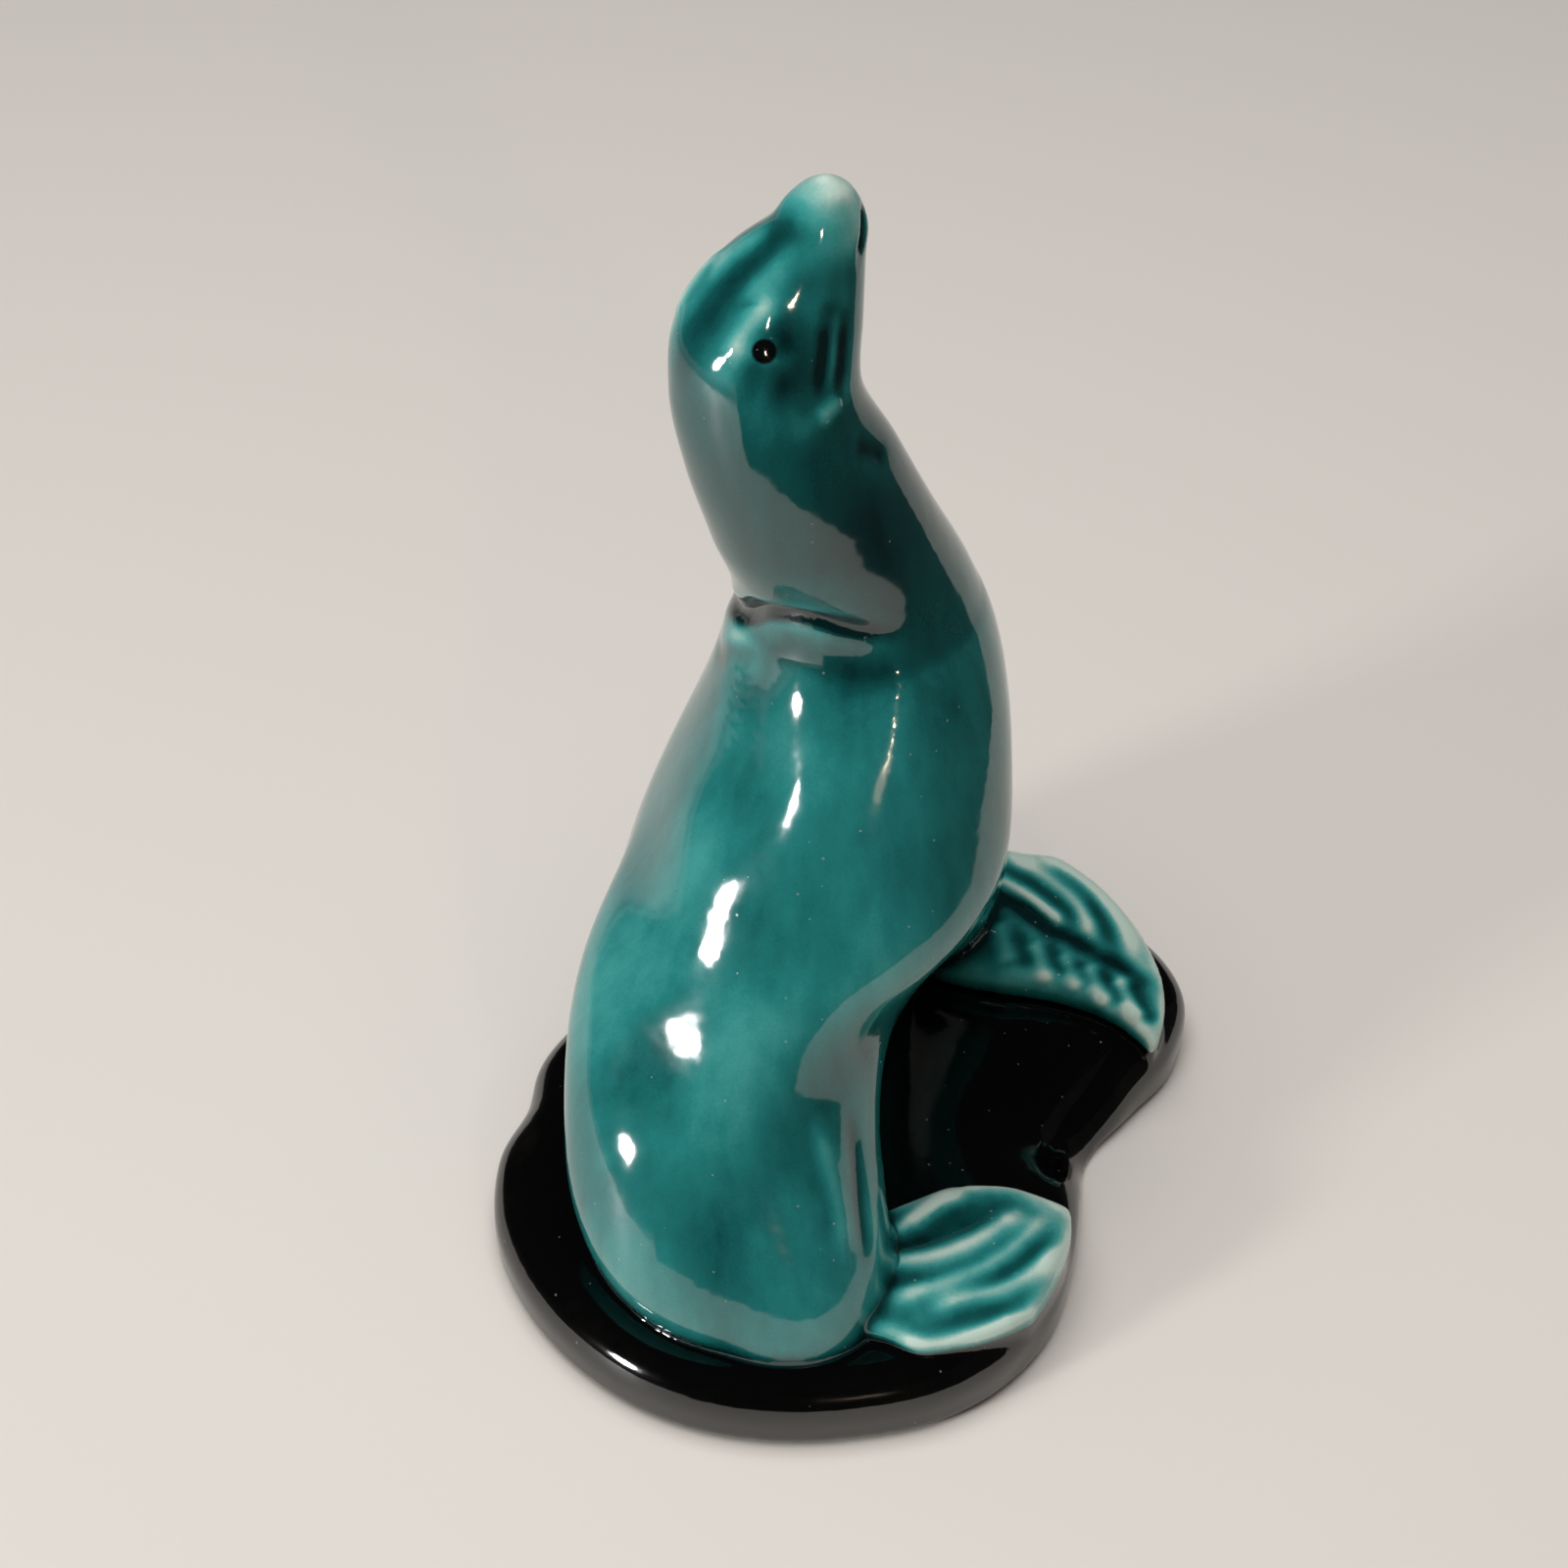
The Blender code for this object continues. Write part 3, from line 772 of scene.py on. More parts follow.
@dataclass(frozen=True)
class TealAndBlackGlaze:
    """Transparent teal glaze that breaks pale on ridges, over a black glazed rock.

    How thin it lies runs from 0, pooled and dark, to 1, drawn off and pale; the same number also carries
    painted shade, light and reflection.
    """

    name: str = "teal_and_black_glaze"
    roughness: float = 0.07
    roughness_range: tuple[float, float] = (0.8, 1.5)
    ior: float = 1.8
    peel: float = 0.00006
    plain: float = 0.40
    relief_reach: float = 0.30
    by_relief: float = 0.42
    swell_reach: float = 0.9
    swell_top: float = 0.6
    by_swell: float = 0.25
    unevenness: tuple[Unevenness, ...] = (
        Unevenness(scale=75.0, detail=4.0, rough=0.55, upright=0.3, share=0.45),
        Unevenness(scale=420.0, detail=2.0, rough=0.5, upright=0.12, share=0.12),
        Unevenness(scale=2600.0, detail=2.0, rough=0.6, upright=1.0, share=0.10),
    )
    # neck band: darker glaze on the neck, partly a thicker glaze and partly painted shade where the light
    # from above falls less; the head band takes part of it back on the head
    neck_band: tuple[float, float] = (0.088, 0.112)
    neck_pool_and_shade: float = 0.25
    head_band: tuple[float, float] = (0.126, 0.138)
    head_less_shade: float = 0.14
    edge_wander: float = 0.6
    edge_width: float = 0.22
    speck_chance: float = 0.72
    speck_size: float = 0.13
    speck_strength: float = 0.35
    speck_roughness: float = 0.25
    speck_colour: Colour = (0.30, 0.29, 0.26)
    eye_colour: Colour = (0.0015, 0.002, 0.002)
    teal: Stops = ((0.0, (0.0008, 0.014, 0.015)), (0.28, (0.004, 0.072, 0.070)),
                   (0.48, (0.015, 0.170, 0.164)), (0.66, (0.052, 0.280, 0.262)),
                   (0.82, (0.190, 0.400, 0.360)), (1.0, (0.480, 0.600, 0.530)))
    black: Stops = ((0.0, (0.0006, 0.0006, 0.0007)), (0.6, (0.0008, 0.0008, 0.0008)),
                    (1.0, (0.008, 0.007, 0.005)))

    def thinness_and_painted_light(self, sheet: NodeSheet, place: bpy.types.NodeSocket) -> bpy.types.NodeSocket:
        """How thin the glaze lies, by the form under it, clouds, streaks, grain and the height; the height
        darkens the neck, partly as painted shade, and the stored lines add painted light and reflection.

        Args:
            sheet: the material's nodes.
            place: socket with the object's own coordinates.

        Returns:
            Socket with the thinness.
        """
        relief = sheet.mapped(sheet.stored(Stored.RELIEF), -self.relief_reach, self.relief_reach, -1.0, 1.0)
        swell = sheet.mapped(sheet.stored(Stored.SWELL), -self.swell_reach, self.swell_reach, -1.0,
                             self.swell_top)
        thin = sheet.plus(self.plain, relief, self.by_relief)
        thin = sheet.plus(thin, swell, self.by_swell)
        for uneven in self.unevenness:
            thin = uneven.added(sheet, place, thin)
        rise = sheet.add("ShaderNodeSeparateXYZ", None, Vector=place).outputs["Z"]
        # painted shade on the neck, partly taken back on the head
        for band, change in ((self.neck_band, -self.neck_pool_and_shade), (self.head_band, self.head_less_shade)):
            thin = sheet.maths("ADD", thin, sheet.mapped(rise, *band, 0.0, change, smooth=True))
        return sheet.maths("ADD", thin, sheet.stored(Stored.GLAZE_AND_PAINTED_LIGHT))

    def colour(self, sheet: NodeSheet, place: bpy.types.NodeSocket) -> bpy.types.NodeSocket:
        """Colour of the two glazes and the eyes, before the dust."""
        thin = self.thinness_and_painted_light(sheet, place)
        teal, black = sheet.ramp(thin, self.teal), sheet.ramp(thin, self.black)
        wander = sheet.maths("SUBTRACT", sheet.noise(place, 260.0), 0.5)
        edge = sheet.plus(sheet.stored(Stored.TEAL_EDGE), wander, self.edge_wander)
        on_teal = sheet.mapped(edge, -self.edge_width, self.edge_width, smooth=True)
        on_eye = sheet.mapped(sheet.stored(Stored.EYE), 0.35, 0.65, smooth=True)
        return sheet.mixed(on_eye, sheet.mixed(on_teal, black, teal), self.eye_colour)

    def make(self) -> bpy.types.Material:
        """Build the material."""
        glaze = bpy.data.materials.new(self.name)
        glaze.use_nodes = True
        sheet = NodeSheet(glaze.node_tree)
        place = sheet.add("ShaderNodeTexCoord").outputs["Object"]
        cells = sheet.add("ShaderNodeTexVoronoi", None, Vector=place, Scale=620.0)
        chance = sheet.add("ShaderNodeSeparateColor", None, Color=cells.outputs["Color"]).outputs[0]
        size = sheet.mapped(chance, self.speck_chance, 1.0, 0.0, self.speck_size)
        speck = sheet.maths("LESS_THAN", cells.outputs["Distance"], size)
        dust = sheet.maths("MULTIPLY", speck, self.speck_strength)
        colour = sheet.mixed(dust, self.colour(sheet, place), self.speck_colour)
        rough = sheet.mapped(sheet.noise(place, 180.0, 3.0), 0.3, 0.7,
                             *(self.roughness * end for end in self.roughness_range))
        rough = sheet.plus(rough, speck, self.speck_roughness)
        peel = sheet.add("ShaderNodeBump", None, Height=sheet.noise(place, 330.0, 1.0), Strength=0.6,
                         Distance=self.peel)
        shader = sheet.add("ShaderNodeBsdfPrincipled", None, Base_Color=colour, Roughness=rough,
                           Normal=peel.outputs[0])
        shader.inputs["IOR"].default_value = self.ior
        out = sheet.add("ShaderNodeOutputMaterial")
        sheet.tree.links.new(shader.outputs[0], out.inputs["Surface"])
        return glaze


# ------------------------------------------------------------------ the figurine
@dataclass
class Figurine:
    """The whole casting: seal, flippers and rock under one skin, modelled and glazed."""

    trunk: Trunk
    neck: Neck
    rock: Rock
    flippers: tuple[Flipper, ...]
    face: Face
    lines: tuple[BodyLine, ...]
    strokes: tuple[Stroke, ...]
    runs: tuple[BodyLine, ...]
    finish: TealAndBlackGlaze
    fineness: float = 0.5
    softening: int = 8
    most_triangles: int = 190_000
    edge_reach: float = 6.0
    edge_rounds: int = 3
    relief_rounds: int = 24
    swell_rounds: int = 110
    calm_rounds: int = 2
    eye_reach: float = 1.5

    def skin(self) -> tuple[bpy.types.Mesh, BVHTree, BVHTree]:
        """One skin over all masses, with trees of the teal and of the black surfaces."""
        neck, stone = bmesh.new(), bmesh.new()
        add_loft(neck, self.neck.rings())
        add_loft(stone, self.rock.rings())
        teal = [self.trunk.skin(), plain_mesh("neck", neck)]
        black = [plain_mesh("rock", stone)]
        whole = bmesh.new()
        for part in teal + black:
            whole.from_mesh(part)
        for flipper in self.flippers:
            slab, face = flipper.slab()
            whole.from_mesh(slab)
            teal.append(face)
        thing = mesh_object("whole", whole)
        skin_over(thing, self.fineness, self.softening)
        return evaluated_mesh(thing), self.tree_of(teal), self.tree_of(black)

    @staticmethod
    def tree_of(meshes: list[bpy.types.Mesh]) -> BVHTree:
        """Search tree over several meshes, in millimetres."""
        points: list = []
        faces: list = []
        for mesh in meshes:
            start = len(points)
            points += [tuple(p) for p in corners_of(mesh)]
            faces += [tuple(start + k for k in face.vertices) for face in mesh.polygons]
        return BVHTree.FromPolygons(points, faces)

    def model(self, mesh: bpy.types.Mesh, glaze: bpy.types.Material) -> bpy.types.Mesh:
        """Press every line and rib into the skin and raise the eyes.

        Args:
            mesh: the plain skin.
            glaze: the material it gets.

        Returns:
            The modelled skin.
        """
        body = self.neck.body
        strokes = [line.stroke(body) for line in (*self.lines, *self.face.both_sides(self.face.lines))]
        strokes += self.strokes
        for flipper in self.flippers:
            strokes += flipper.strokes()
        strokes += self.face.beads(body)
        clay = placed("clay", mesh)
        log.info("modelling: %d strokes", len(strokes))
        return PressTree().press(clay, strokes, glaze)

    def paint(self, mesh: bpy.types.Mesh, teal: BVHTree, black: BVHTree) -> None:
        """Store what the glaze reads at the mesh's points: where the two meet, the form and the runs, some of
        which are painted light, shade and reflection.

        Args:
            mesh: the modelled skin, which gets the attributes.
            teal: search tree of the surfaces in teal glaze.
            black: search tree of the surfaces in black glaze.
        """
        points, normals = corners_of(mesh), normals_of(mesh)
        evening = Evening.over(mesh)
        edge = np.empty(len(points))
        for k, point in enumerate(points):
            edge[k] = black.find_nearest(point)[3] - teal.find_nearest(point)[3]
        edge = evening.run(np.clip(edge, -self.edge_reach, self.edge_reach), self.edge_rounds)
        near = evening.run(points, self.relief_rounds)
        far = evening.run(near, self.swell_rounds)
        relief = evening.run(((points - near) * normals).sum(1), self.calm_rounds)
        swell = ((points - far) * normals).sum(1)
        eye = np.zeros(len(points))
        for middle in self.face.eyes(self.neck.body):
            apart = np.linalg.norm(points - middle, axis=1)
            eye = np.maximum(eye, np.clip(self.eye_reach - apart / self.face.eye_radius, 0, 1))
        runs = [line.run(self.neck.body) for line in (*self.runs, *self.face.both_sides(self.face.runs))]
        runs += [run for flipper in self.flippers for run in flipper.runs()]
        glaze_and_painted_light = sum((run.over(points) for run in runs), np.zeros(len(points)))
        for name, values in ((Stored.TEAL_EDGE, edge), (Stored.RELIEF, relief), (Stored.SWELL, swell),
                             (Stored.EYE, eye), (Stored.GLAZE_AND_PAINTED_LIGHT, glaze_and_painted_light)):
            data = mesh.attributes.new(name.value, "FLOAT", "POINT").data
            data.foreach_set("value", values.astype(np.float32))

    def thinned(self, mesh: bpy.types.Mesh, glaze: bpy.types.Material) -> bpy.types.Mesh:
        """The mesh with fewer faces where it is plain.

        Args:
            mesh: the painted skin.
            glaze: the only material that it keeps.

        Returns:
            The thinned mesh, shaded smooth.
        """
        triangles = sum(len(face.vertices) - 2 for face in mesh.polygons)
        log.info("skin: %d triangles", triangles)
        thing = placed("thinning", mesh)
        fewer = thing.modifiers.new("fewer faces", "DECIMATE")
        fewer.ratio = min(1.0, self.most_triangles / triangles)
        thin = evaluated_mesh(thing)
        thin.materials.clear()
        thin.materials.append(glaze)
        thin.polygons.foreach_set("use_smooth", np.ones(len(thin.polygons), bool))
        return thin

    def build(self) -> bpy.types.Object:
        """Build, dress and place the figurine."""
        glaze = self.finish.make()
        skin, teal, black = self.skin()
        mesh = self.model(skin, glaze)
        self.paint(mesh, teal, black)
        mesh = self.thinned(mesh, glaze)
        mesh.name = "seal"
        seal = placed("seal", mesh)
        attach(seal, "root")
        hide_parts(NODE)
        log.info("seal: %d faces", len(mesh.polygons))
        return seal


# ------------------------------------------------------------------ the studio
def plain_material(name: str, colour: Colour, roughness: float) -> bpy.types.Material:
    """Material of one colour and roughness."""
    plain = bpy.data.materials.new(name)
    plain.use_nodes = True
    shader = plain.node_tree.nodes["Principled BSDF"]
    shader.inputs["Base Color"].default_value = (*colour, 1)
    shader.inputs["Roughness"].default_value = roughness
    return plain


@dataclass(frozen=True)
class Lamp:
    """A soft round light: where it stands from the figurine, in degrees and metres, and its strength."""

    name: str
    azimuth: float
    elevation: float
    distance: float
    size: float
    power: float
    colour: Colour = (1.0, 1.0, 1.0)
    mirrored: bool = True
    aim: float = 0.07

    def hang(self) -> None:
        """Place the light so that it faces the figurine."""
        turn, rise = math.radians(self.azimuth), math.radians(self.elevation)
        light = bpy.data.lights.new(self.name, "AREA")
        light.shape = "DISK"
        light.size = self.size
        light.energy = self.power
        light.color = self.colour
        thing = placed(self.name, light)
        thing.location = (self.distance * math.cos(turn) * math.cos(rise),
                          self.distance * math.sin(turn) * math.cos(rise),
                          self.distance * math.sin(rise) + self.aim)
        thing.rotation_euler = (math.pi / 2 - rise, 0, turn + math.pi / 2)
        thing.visible_glossy = self.mirrored


@dataclass(frozen=True)
class Studio:
    """Pale floor, soft lights, a dark screen for the gloss, and the camera at the photograph's angle."""

    lamps: tuple[Lamp, ...]
    camera_place: tuple[float, float, float] = (-0.010, -0.262, 0.300)
    camera_pitch: float = 49.5
    focal_pixels: float = 2650.0
    picture: int = 1600
    sensor: float = 36.0
    nearest: float = 0.01
    floor_size: float = 3.0
    floor_colour: Colour = (0.66, 0.62, 0.575)
    floor_roughness: float = 0.6
    flag_turns: tuple[float, float] = (-120.0, 30.0)
    flag_steps: int = 24
    flag_radius: float = 0.225
    flag_height: float = 0.18
    flag_colour: Colour = (0.02, 0.02, 0.02)
    flag_roughness: float = 0.9
    room: Stops = ((0.0, (0.30, 0.29, 0.28)), (0.088, (0.30, 0.29, 0.28)), (0.12, (0.03, 0.03, 0.03)),
                   (0.35, (0.012, 0.012, 0.012)), (1.0, (0.012, 0.012, 0.012)))

    def floor(self) -> None:
        """Lay the pale floor."""
        mesh = bmesh.new()
        bmesh.ops.create_grid(mesh, x_segments=2, y_segments=2, size=self.floor_size / 2)
        floor = placed("floor", plain_mesh("floor", mesh))
        floor.data.materials.append(plain_material("pale_floor", self.floor_colour, self.floor_roughness))

    def flag(self) -> None:
        """Stand a low dark screen in front and to the right, which only the gloss sees."""
        low, high = (math.radians(turn) for turn in self.flag_turns)
        mesh = bmesh.new()
        for k in range(self.flag_steps):
            ends = [low + (high - low) * (k + j) / self.flag_steps for j in (0, 1)]
            ring = [(self.flag_radius * math.cos(turn), self.flag_radius * math.sin(turn)) for turn in ends]
            mesh.faces.new([mesh.verts.new((*ring[j], rise * self.flag_height)) for j, rise in
                            ((0, 0), (1, 0), (1, 1), (0, 1))])
        flag = placed("flag", plain_mesh("flag", mesh))
        flag.data.materials.append(plain_material("black_felt", self.flag_colour, self.flag_roughness))
        flag.visible_camera = flag.visible_diffuse = flag.visible_shadow = False

    def sky(self) -> None:
        """Give the room's soft light: pale below the horizon and dim above it."""
        world = bpy.data.worlds.new("room")
        bpy.context.scene.world = world
        world.use_nodes = True
        sheet = NodeSheet(world.node_tree)
        way = sheet.add("ShaderNodeTexCoord").outputs["Generated"]
        rise = sheet.add("ShaderNodeSeparateXYZ", None, Vector=way).outputs["Z"]
        colour = sheet.ramp(sheet.mapped(rise, -0.1, 1.0), self.room)
        back = sheet.add("ShaderNodeBackground", None, Color=colour, Strength=1.0)
        out = sheet.add("ShaderNodeOutputWorld")
        sheet.tree.links.new(back.outputs[0], out.inputs["Surface"])

    def camera(self) -> None:
        """Set the camera."""
        lens = bpy.data.cameras.new("camera")
        lens.sensor_width = self.sensor
        lens.lens = self.focal_pixels / self.picture * self.sensor
        lens.clip_start = self.nearest
        eye = placed("camera", lens)
        eye.location = self.camera_place
        eye.rotation_euler = (math.radians(self.camera_pitch), 0, 0)
        bpy.context.scene.camera = eye

    def build(self) -> None:
        """Set everything up."""
        self.floor()
        self.flag()
        self.sky()
        for lamp in self.lamps:
            lamp.hang()
        self.camera()
        bpy.context.scene.view_settings.view_transform = "Standard"
        log.info("studio: %d lamps", len(self.lamps))


# ------------------------------------------------------------------ the measures
BODY = Loft((
    (6.0, -16.0, -21.2, 21.7, 3.7, -40.0),
    (16.1, -19.2, -16.3, 23.0, 3.5, -90.0),
    (23.9, -20.2, -11.9, 23.5, 4.9, -101.0),
    (32.0, -18.8, -7.2, 24.4, 4.9, -107.0),
    (41.0, -15.2, -1.3, 26.2, 4.5, -115.0),
    (50.2, -9.9, 5.0, 27.8, 4.0, -119.0),
    (58.0, -4.9, 9.8, 28.0, 2.7, -91.0),
    (70.4, -1.7, 14.2, 25.6, 2.7, -90.0),
    (81.9, 0.0, 16.6, 22.2, 2.2, -95.0),
    (89.5, 0.2, 17.7, 19.6, 1.6, -97.0),
    (96.4, -0.7, 18.4, 17.2, 0.9, -93.0),
    (109.9, -5.2, 14.3, 14.7, 0.5, -132.0),
    (120.5, -9.0, 12.5, 13.6, 0.3, -138.0),
    (131.0, -12.3, 11.7, 11.9, 0.0, -138.0),
    (139.5, -11.7, 13.3, 11.2, 0.4, -144.0),
    (146.9, -8.7, 14.7, 8.4, 0.3, -146.0),
    (151.7, -6.0, 14.2, 5.8, 0.3, -139.0),
    (154.8, -5.5, 14.1, 4.1, 0.2, -139.0),
    (156.7, -5.1, 13.9, 2.2, 0.0, -139.0),
    (157.5, -5.0, 13.9, 0.6, 0.0, -139.0),
))
CHEST = Loft((
    (6.0, -14.0, 28.0, 24.0, 4.0, 60.0),
    (12.0, -14.0, 27.0, 24.0, 4.0, 60.0),
    (22.0, -13.5, 24.5, 24.3, 3.0, 60.0),
    (32.0, -12.5, 21.0, 24.5, 2.5, 60.0),
    (42.0, -10.0, 18.0, 25.0, 1.5, 60.0),
    (52.0, -7.0, 16.5, 25.0, 0.5, 60.0),
    (66.0, -3.5, 17.0, 23.0, 0.0, 60.0),
    (80.0, -1.0, 19.0, 19.0, 0.0, 60.0),
))
SHOULDER = Loft((
    (8.0, 10.0, 43.5, 11.0, 0.0, 60.0),
    (13.0, 10.0, 41.0, 11.5, 0.0, 60.0),
    (20.0, 9.5, 36.0, 12.6, 0.0, 60.0),
    (32.0, 8.0, 28.5, 14.4, 0.0, 60.0),
    (40.0, 7.0, 24.5, 15.8, 0.0, 60.0),
    (48.0, 5.8, 21.0, 16.8, 0.0, 60.0),
    (56.0, 4.5, 18.5, 17.6, 0.0, 60.0),
    (66.0, 3.2, 17.0, 18.2, 0.0, 60.0),
    (78.0, 1.0, 16.5, 18.2, 0.0, 60.0),
))
THIGH = Loft((
    (6.0, -9.8, -30.0, 15.0, 0.5, -60.0),
    (12.0, -10.2, -29.5, 15.5, 0.5, -60.0),
    (20.0, -11.6, -26.3, 16.3, 0.4, -60.0),
    (30.0, -14.0, -19.0, 17.2, 0.0, -60.0),
    (44.0, -13.5, -7.5, 18.5, 0.0, -60.0),
    (58.0, -9.0, 4.0, 19.5, 0.0, -60.0),
))
ROCK = Rock(
    outline=(
        (0.504, 0.253), (0.462, 0.364), (0.363, 0.452), (0.189, 0.521), (-0.019, 0.525),
        (-0.208, 0.465), (-0.321, 0.364), (-0.382, 0.249), (-0.453, 0.124), (-0.462, 0.046),
        (-0.494, -0.055), (-0.492, -0.147), (-0.449, -0.254), (-0.370, -0.354), (-0.281, -0.420),
        (-0.182, -0.457), (-0.094, -0.468), (0.008, -0.461), (0.109, -0.437), (0.193, -0.387),
        (0.258, -0.313), (0.300, -0.203), (0.321, -0.088), (0.336, -0.009), (0.404, 0.074),
        (0.477, 0.162),
    ),
    swells=(
        (38.0, 30.0, 3.0, 16.0, 14.0),
        (36.5, -1.0, -4.8, 12.5, 9.0),
        (-50.0, -5.0, 1.5, 9.0, 9.0),
    ),
)
HIND_FLIPPER = Flipper(
    "hind flipper", ((1.0, -44.5, 2.0), (25.8, -35.3, 2.0), (31.0, -20.0, 3.0), (0.0, -19.0, 5.5)),
    ribs=(
        Rib(((0.0, 0.62), (0.13, 0.66), (0.26, 0.77), (0.40, 0.92), (0.53, 1.05)), 1.1, 1.8),
        Rib(((0.0, 0.50), (0.18, 0.49), (0.34, 0.50), (0.53, 0.58), (0.68, 0.73), (0.80, 0.95)), 1.3, 2.1),
        Rib(((0.05, 0.28), (0.22, 0.30), (0.44, 0.34), (0.64, 0.44), (0.82, 0.72), (0.91, 0.98)), 1.0, 1.9),
        Rib(((0.30, 0.18), (0.48, 0.22), (0.73, 0.23), (0.92, 0.40), (1.0, 0.60)), 0.9, 1.7),
        Rib(((0.14, 0.10), (0.30, 0.01), (0.60, -0.04), (0.98, -0.10)), 0.6, 1.2),
    ),
    bulge=1.4,
    lower=((0.0, 0.15), (0.12, 0.10), (0.26, 0.01), (0.5, -0.05), (0.83, -0.12), (1.0, -0.14)),
    upper=((0.0, 0.85), (0.1, 0.87), (0.21, 0.93), (0.39, 1.04), (0.58, 1.12), (0.72, 1.15), (0.9, 1.11),
           (1.0, 1.07)),
)
FORE_FLIPPER = Flipper(
    "fore flipper", ((8.0, 31.5, 4.5), (46.0, 12.8, 2.5), (44.5, 30.0, 12.0), (9.0, 44.0, 24.0)),
    ribs=(
        Rib(((0.30, 0.72), (0.49, 0.69), (0.59, 0.63), (0.64, 0.58)), 1.1, 1.5),
        Rib(((0.40, 0.90), (0.58, 0.87), (0.69, 0.80), (0.73, 0.66), (0.75, 0.56)), 1.1, 1.8),
        Rib(((0.55, 1.02), (0.73, 1.02), (0.86, 0.95), (0.89, 0.75), (0.89, 0.55)), 1.0, 1.8),
        Rib(((0.36, 0.62), (0.46, 0.60), (0.57, 0.55), (0.66, 0.54), (0.75, 0.52), (0.86, 0.50),
             (0.97, 0.44)), -0.6, 1.3),
        Rib(((0.44, 0.45), (0.50, 0.26)), -0.15, 1.4),
        Rib(((0.56, 0.47), (0.63, 0.28)), -0.2, 1.2),
        Rib(((0.66, 0.43), (0.73, 0.28)), -0.15, 1.2),
        Rib(((0.75, 0.45), (0.85, 0.22)), -0.3, 1.3),
        Rib(((0.86, 0.44), (0.98, 0.14)), -0.45, 1.6),
        Rib(((0.36, 0.46), (0.42, 0.22)), 0.4, 1.9),
        Rib(((0.49, 0.43), (0.57, 0.21)), 0.4, 1.4),
        Rib(((0.60, 0.43), (0.68, 0.23)), 0.4, 1.3),
        Rib(((0.69, 0.42), (0.79, 0.20)), 0.5, 1.5),
        Rib(((0.80, 0.42), (0.92, 0.16)), 0.6, 1.5),
        Rib(((0.40, 0.17), (0.46, 0.20), (0.64, 0.26), (0.77, 0.23), (0.87, 0.18), (1.0, 0.05)), 0.3, 1.5),
    ),
    bulge=3.4,
    lower=((0.0, 0.0), (0.2, 0.05), (0.4, 0.13), (0.61, 0.20), (0.79, 0.19), (0.93, 0.10), (1.0, 0.02)),
    upper=((0.0, 0.95), (0.45, 0.97), (0.55, 1.02), (0.76, 1.13), (0.88, 1.12), (1.0, 0.98)),
    back_slope=9.0,
)
FAR_FLIPPER = Flipper(
    "far flipper", ((-22.0, 44.0, 9.5), (-31.5, 38.0, 2.5), (-41.0, 18.0, 2.5), (-24.0, 18.0, 13.5)),
    ribs=tuple(Rib(((0.0, 0.2 * k), (0.5, 0.2 * k), (1.0, 0.2 * k)), 0.9, 1.3) for k in range(1, 5)),
    bulge=1.5,
)
BODY_LINES = (
    BodyLine(((150, 0.564), (177, 0.59), (205, 0.611), (231, 0.64), (250, 0.648), (277, 0.639),
              (288, 0.634)), 1.5, 1.3),
    BodyLine(((170, 0.551), (187, 0.551), (210, 0.580), (224, 0.591)), 0.3, 2.0),
    BodyLine(((173, 0.545), (205, 0.588), (219, 0.599)), -0.2, 1.2),
    BodyLine(((260, 0.598), (273, 0.599), (288, 0.599)), 0.2, 2.6),
    BodyLine(((200, 0.545), (246, 0.580), (290, 0.580)), 1.5, 8.5),
    BodyLine(((214, 0.872), (215, 0.897), (217, 0.923), (218, 0.948), (221, 0.968), (228, 0.988)), 0.35, 2.6),
)
FACE = Face(32.0, (
    BodyLine(((17, 0.974), (38, 0.968), (50, 0.956), (57, 0.939)), 0.8, 0.8),
    BodyLine(((152, 0.930), (139, 0.922), (142, 0.905), (146, 0.878)), -0.5, 1.7),
    BodyLine(((130, 0.906), (112, 0.900), (98, 0.888), (104, 0.868), (124, 0.872)), 0.4, 3.0, 0.2),
    BodyLine(((88, 0.908), (84, 0.884), (87, 0.857)), 0.35, 1.0),
    BodyLine(((69, 0.902), (68, 0.873), (71, 0.849)), 0.35, 1.1),
    BodyLine(((69, 0.848), (82, 0.840), (91, 0.835)), -0.4, 1.4),
    BodyLine(((71, 0.806), (60, 0.793), (50, 0.775)), 0.3, 1.6),
), runs=(
    BodyLine(((150, 0.928), (140, 0.920), (143, 0.905), (147, 0.878)), 0.27, 2.1),
    BodyLine(((160, 0.955), (150, 0.945)), 0.15, 2.2),
    BodyLine(((128, 0.903), (118, 0.899), (106, 0.887), (112, 0.872), (126, 0.876)), -0.22, 3.4),
    BodyLine(((150, 0.965), (135, 0.960), (120, 0.940)), -0.12, 2.4),
    # painted reflection: two dark streaks down each cheek, with a pale one between, stand for the room
    # mirrored in the glaze
    BodyLine(((86, 0.912), (84, 0.884), (86, 0.862)), -0.25, 1.2),
    BodyLine(((69, 0.902), (68, 0.873), (72, 0.852)), -0.25, 1.3),
    BodyLine(((78, 0.905), (76, 0.880), (79, 0.860)), 0.15, 0.9),
    BodyLine(((66, 0.846), (82, 0.838), (96, 0.832)), 0.20, 2.0),
    BodyLine(((100, 0.998), (102, 0.988)), 0.06, 3.5),
    BodyLine(((62, 0.985), (70, 0.972), (76, 0.955)), 0.12, 1.8),
    BodyLine(((20, 0.974), (38, 0.966), (52, 0.950)), -0.45, 1.4),
), eye=(127, 0.893), eye_radius=1.5)
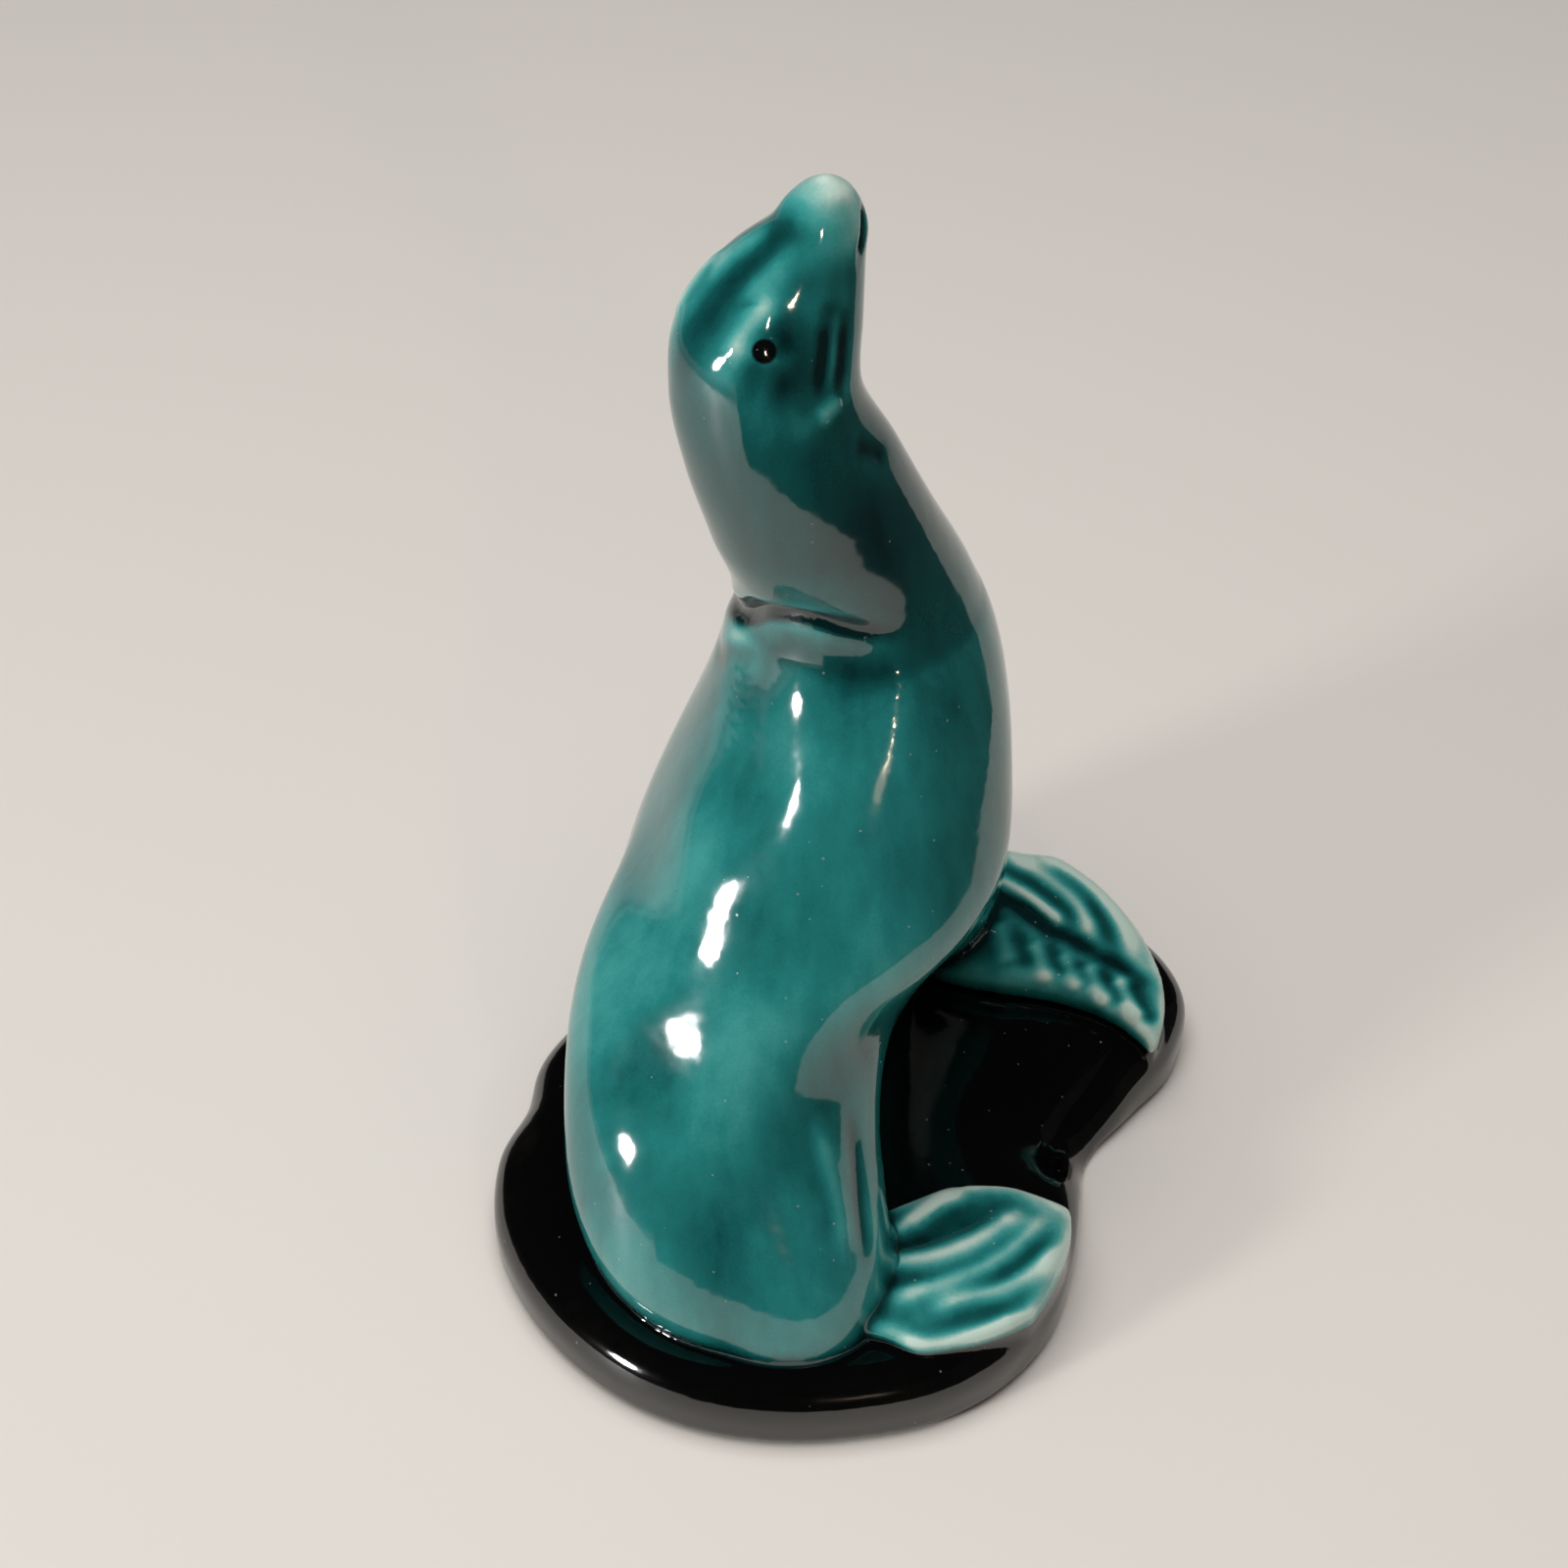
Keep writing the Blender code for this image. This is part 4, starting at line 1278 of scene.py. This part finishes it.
BODY_GLAZE_AND_PAINTED_LIGHT = (
    BodyLine(((214, 0.868), (215, 0.897), (217, 0.923), (218, 0.948), (221, 0.972)), -0.18, 2.7),
    BodyLine(((217, 0.935), (219, 0.955)), -0.12, 2.2),
    BodyLine(((190, 0.895), (192, 0.925), (198, 0.955)), 0.12, 2.4),
    BodyLine(((180, 0.583), (205, 0.611), (231, 0.640), (250, 0.648), (277, 0.639)), -0.40, 1.8),
    BodyLine(((205, 0.588), (219, 0.599), (232, 0.612)), 0.18, 1.6),
    BodyLine(((203, 0.568), (222, 0.582)), 0.14, 1.6),
    BodyLine(((235, 0.628), (262, 0.625), (285, 0.620)), 0.10, 3.0),
    # painted shade: darker along the faint second fold
    BodyLine(((262, 0.598), (288, 0.599)), -0.10, 2.2),
    # painted light: broad paler patches on the back and rump, where the light from above falls
    BodyLine(((235, 0.370), (228, 0.450), (232, 0.530)), 0.10, 7.0),
    BodyLine(((215, 0.300), (210, 0.380)), 0.12, 8.0),
    BodyLine(((262, 0.270), (262, 0.340)), 0.08, 8.0),
    # painted reflection: a dark patch down the right front of the neck, where the glaze mirrors the dark room
    BodyLine(((300, 0.570), (300, 0.660), (300, 0.740)), -0.12, 7.0),
)
STROKES = (
    Stroke(((-23.4, -7.8, 64.0), (-23.4, -7.8, 64.8)), -1.87, 10.0, 0.0),
    Stroke(((-15.5, -3.5, 79.0), (-15.5, -3.5, 79.8)), 1.23, 7.0, 0.0),
    Stroke(((-27.0, -24.2, 47.6), (-27.0, -24.2, 48.4)), 2.0, 8.8, 0.0),
    Stroke(((-6.5, -26.7, 42.2), (-4.3, -29.4, 35.6), (-2.5, -33.5, 28.4), (-1.8, -38.4, 22.0)), -0.4, 1.6),
    Stroke(((-1.3, -23.6, 40.8), (-0.2, -27.2, 33.1), (0.6, -31.9, 26.4), (1.5, -36.7, 19.9)), 0.5, 1.6),
)
LAMPS = (
    Lamp("key", azimuth=-147.0, elevation=13.0, distance=1.0, size=0.16, power=5.5),
    Lamp("warm", azimuth=-75.0, elevation=23.0, distance=1.0, size=0.06, power=0.6, colour=(1.0, 0.82, 0.62)),
    Lamp("top", azimuth=-150.0, elevation=84.0, distance=1.3, size=1.5, power=22.0, mirrored=False),
)


def main() -> None:
    """Build the studio and the figurine, and log the number of lamps and of the seal's faces."""
    logging.basicConfig(level=logging.INFO, format="%(message)s")
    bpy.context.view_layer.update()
    Studio(LAMPS).build()
    Figurine(Trunk(BODY, CHEST, SHOULDER, THIGH), Neck(BODY), ROCK, (HIND_FLIPPER, FORE_FLIPPER, FAR_FLIPPER),
             FACE, BODY_LINES, STROKES, BODY_GLAZE_AND_PAINTED_LIGHT, TealAndBlackGlaze()).build()


if __name__ == "__main__":
    main()
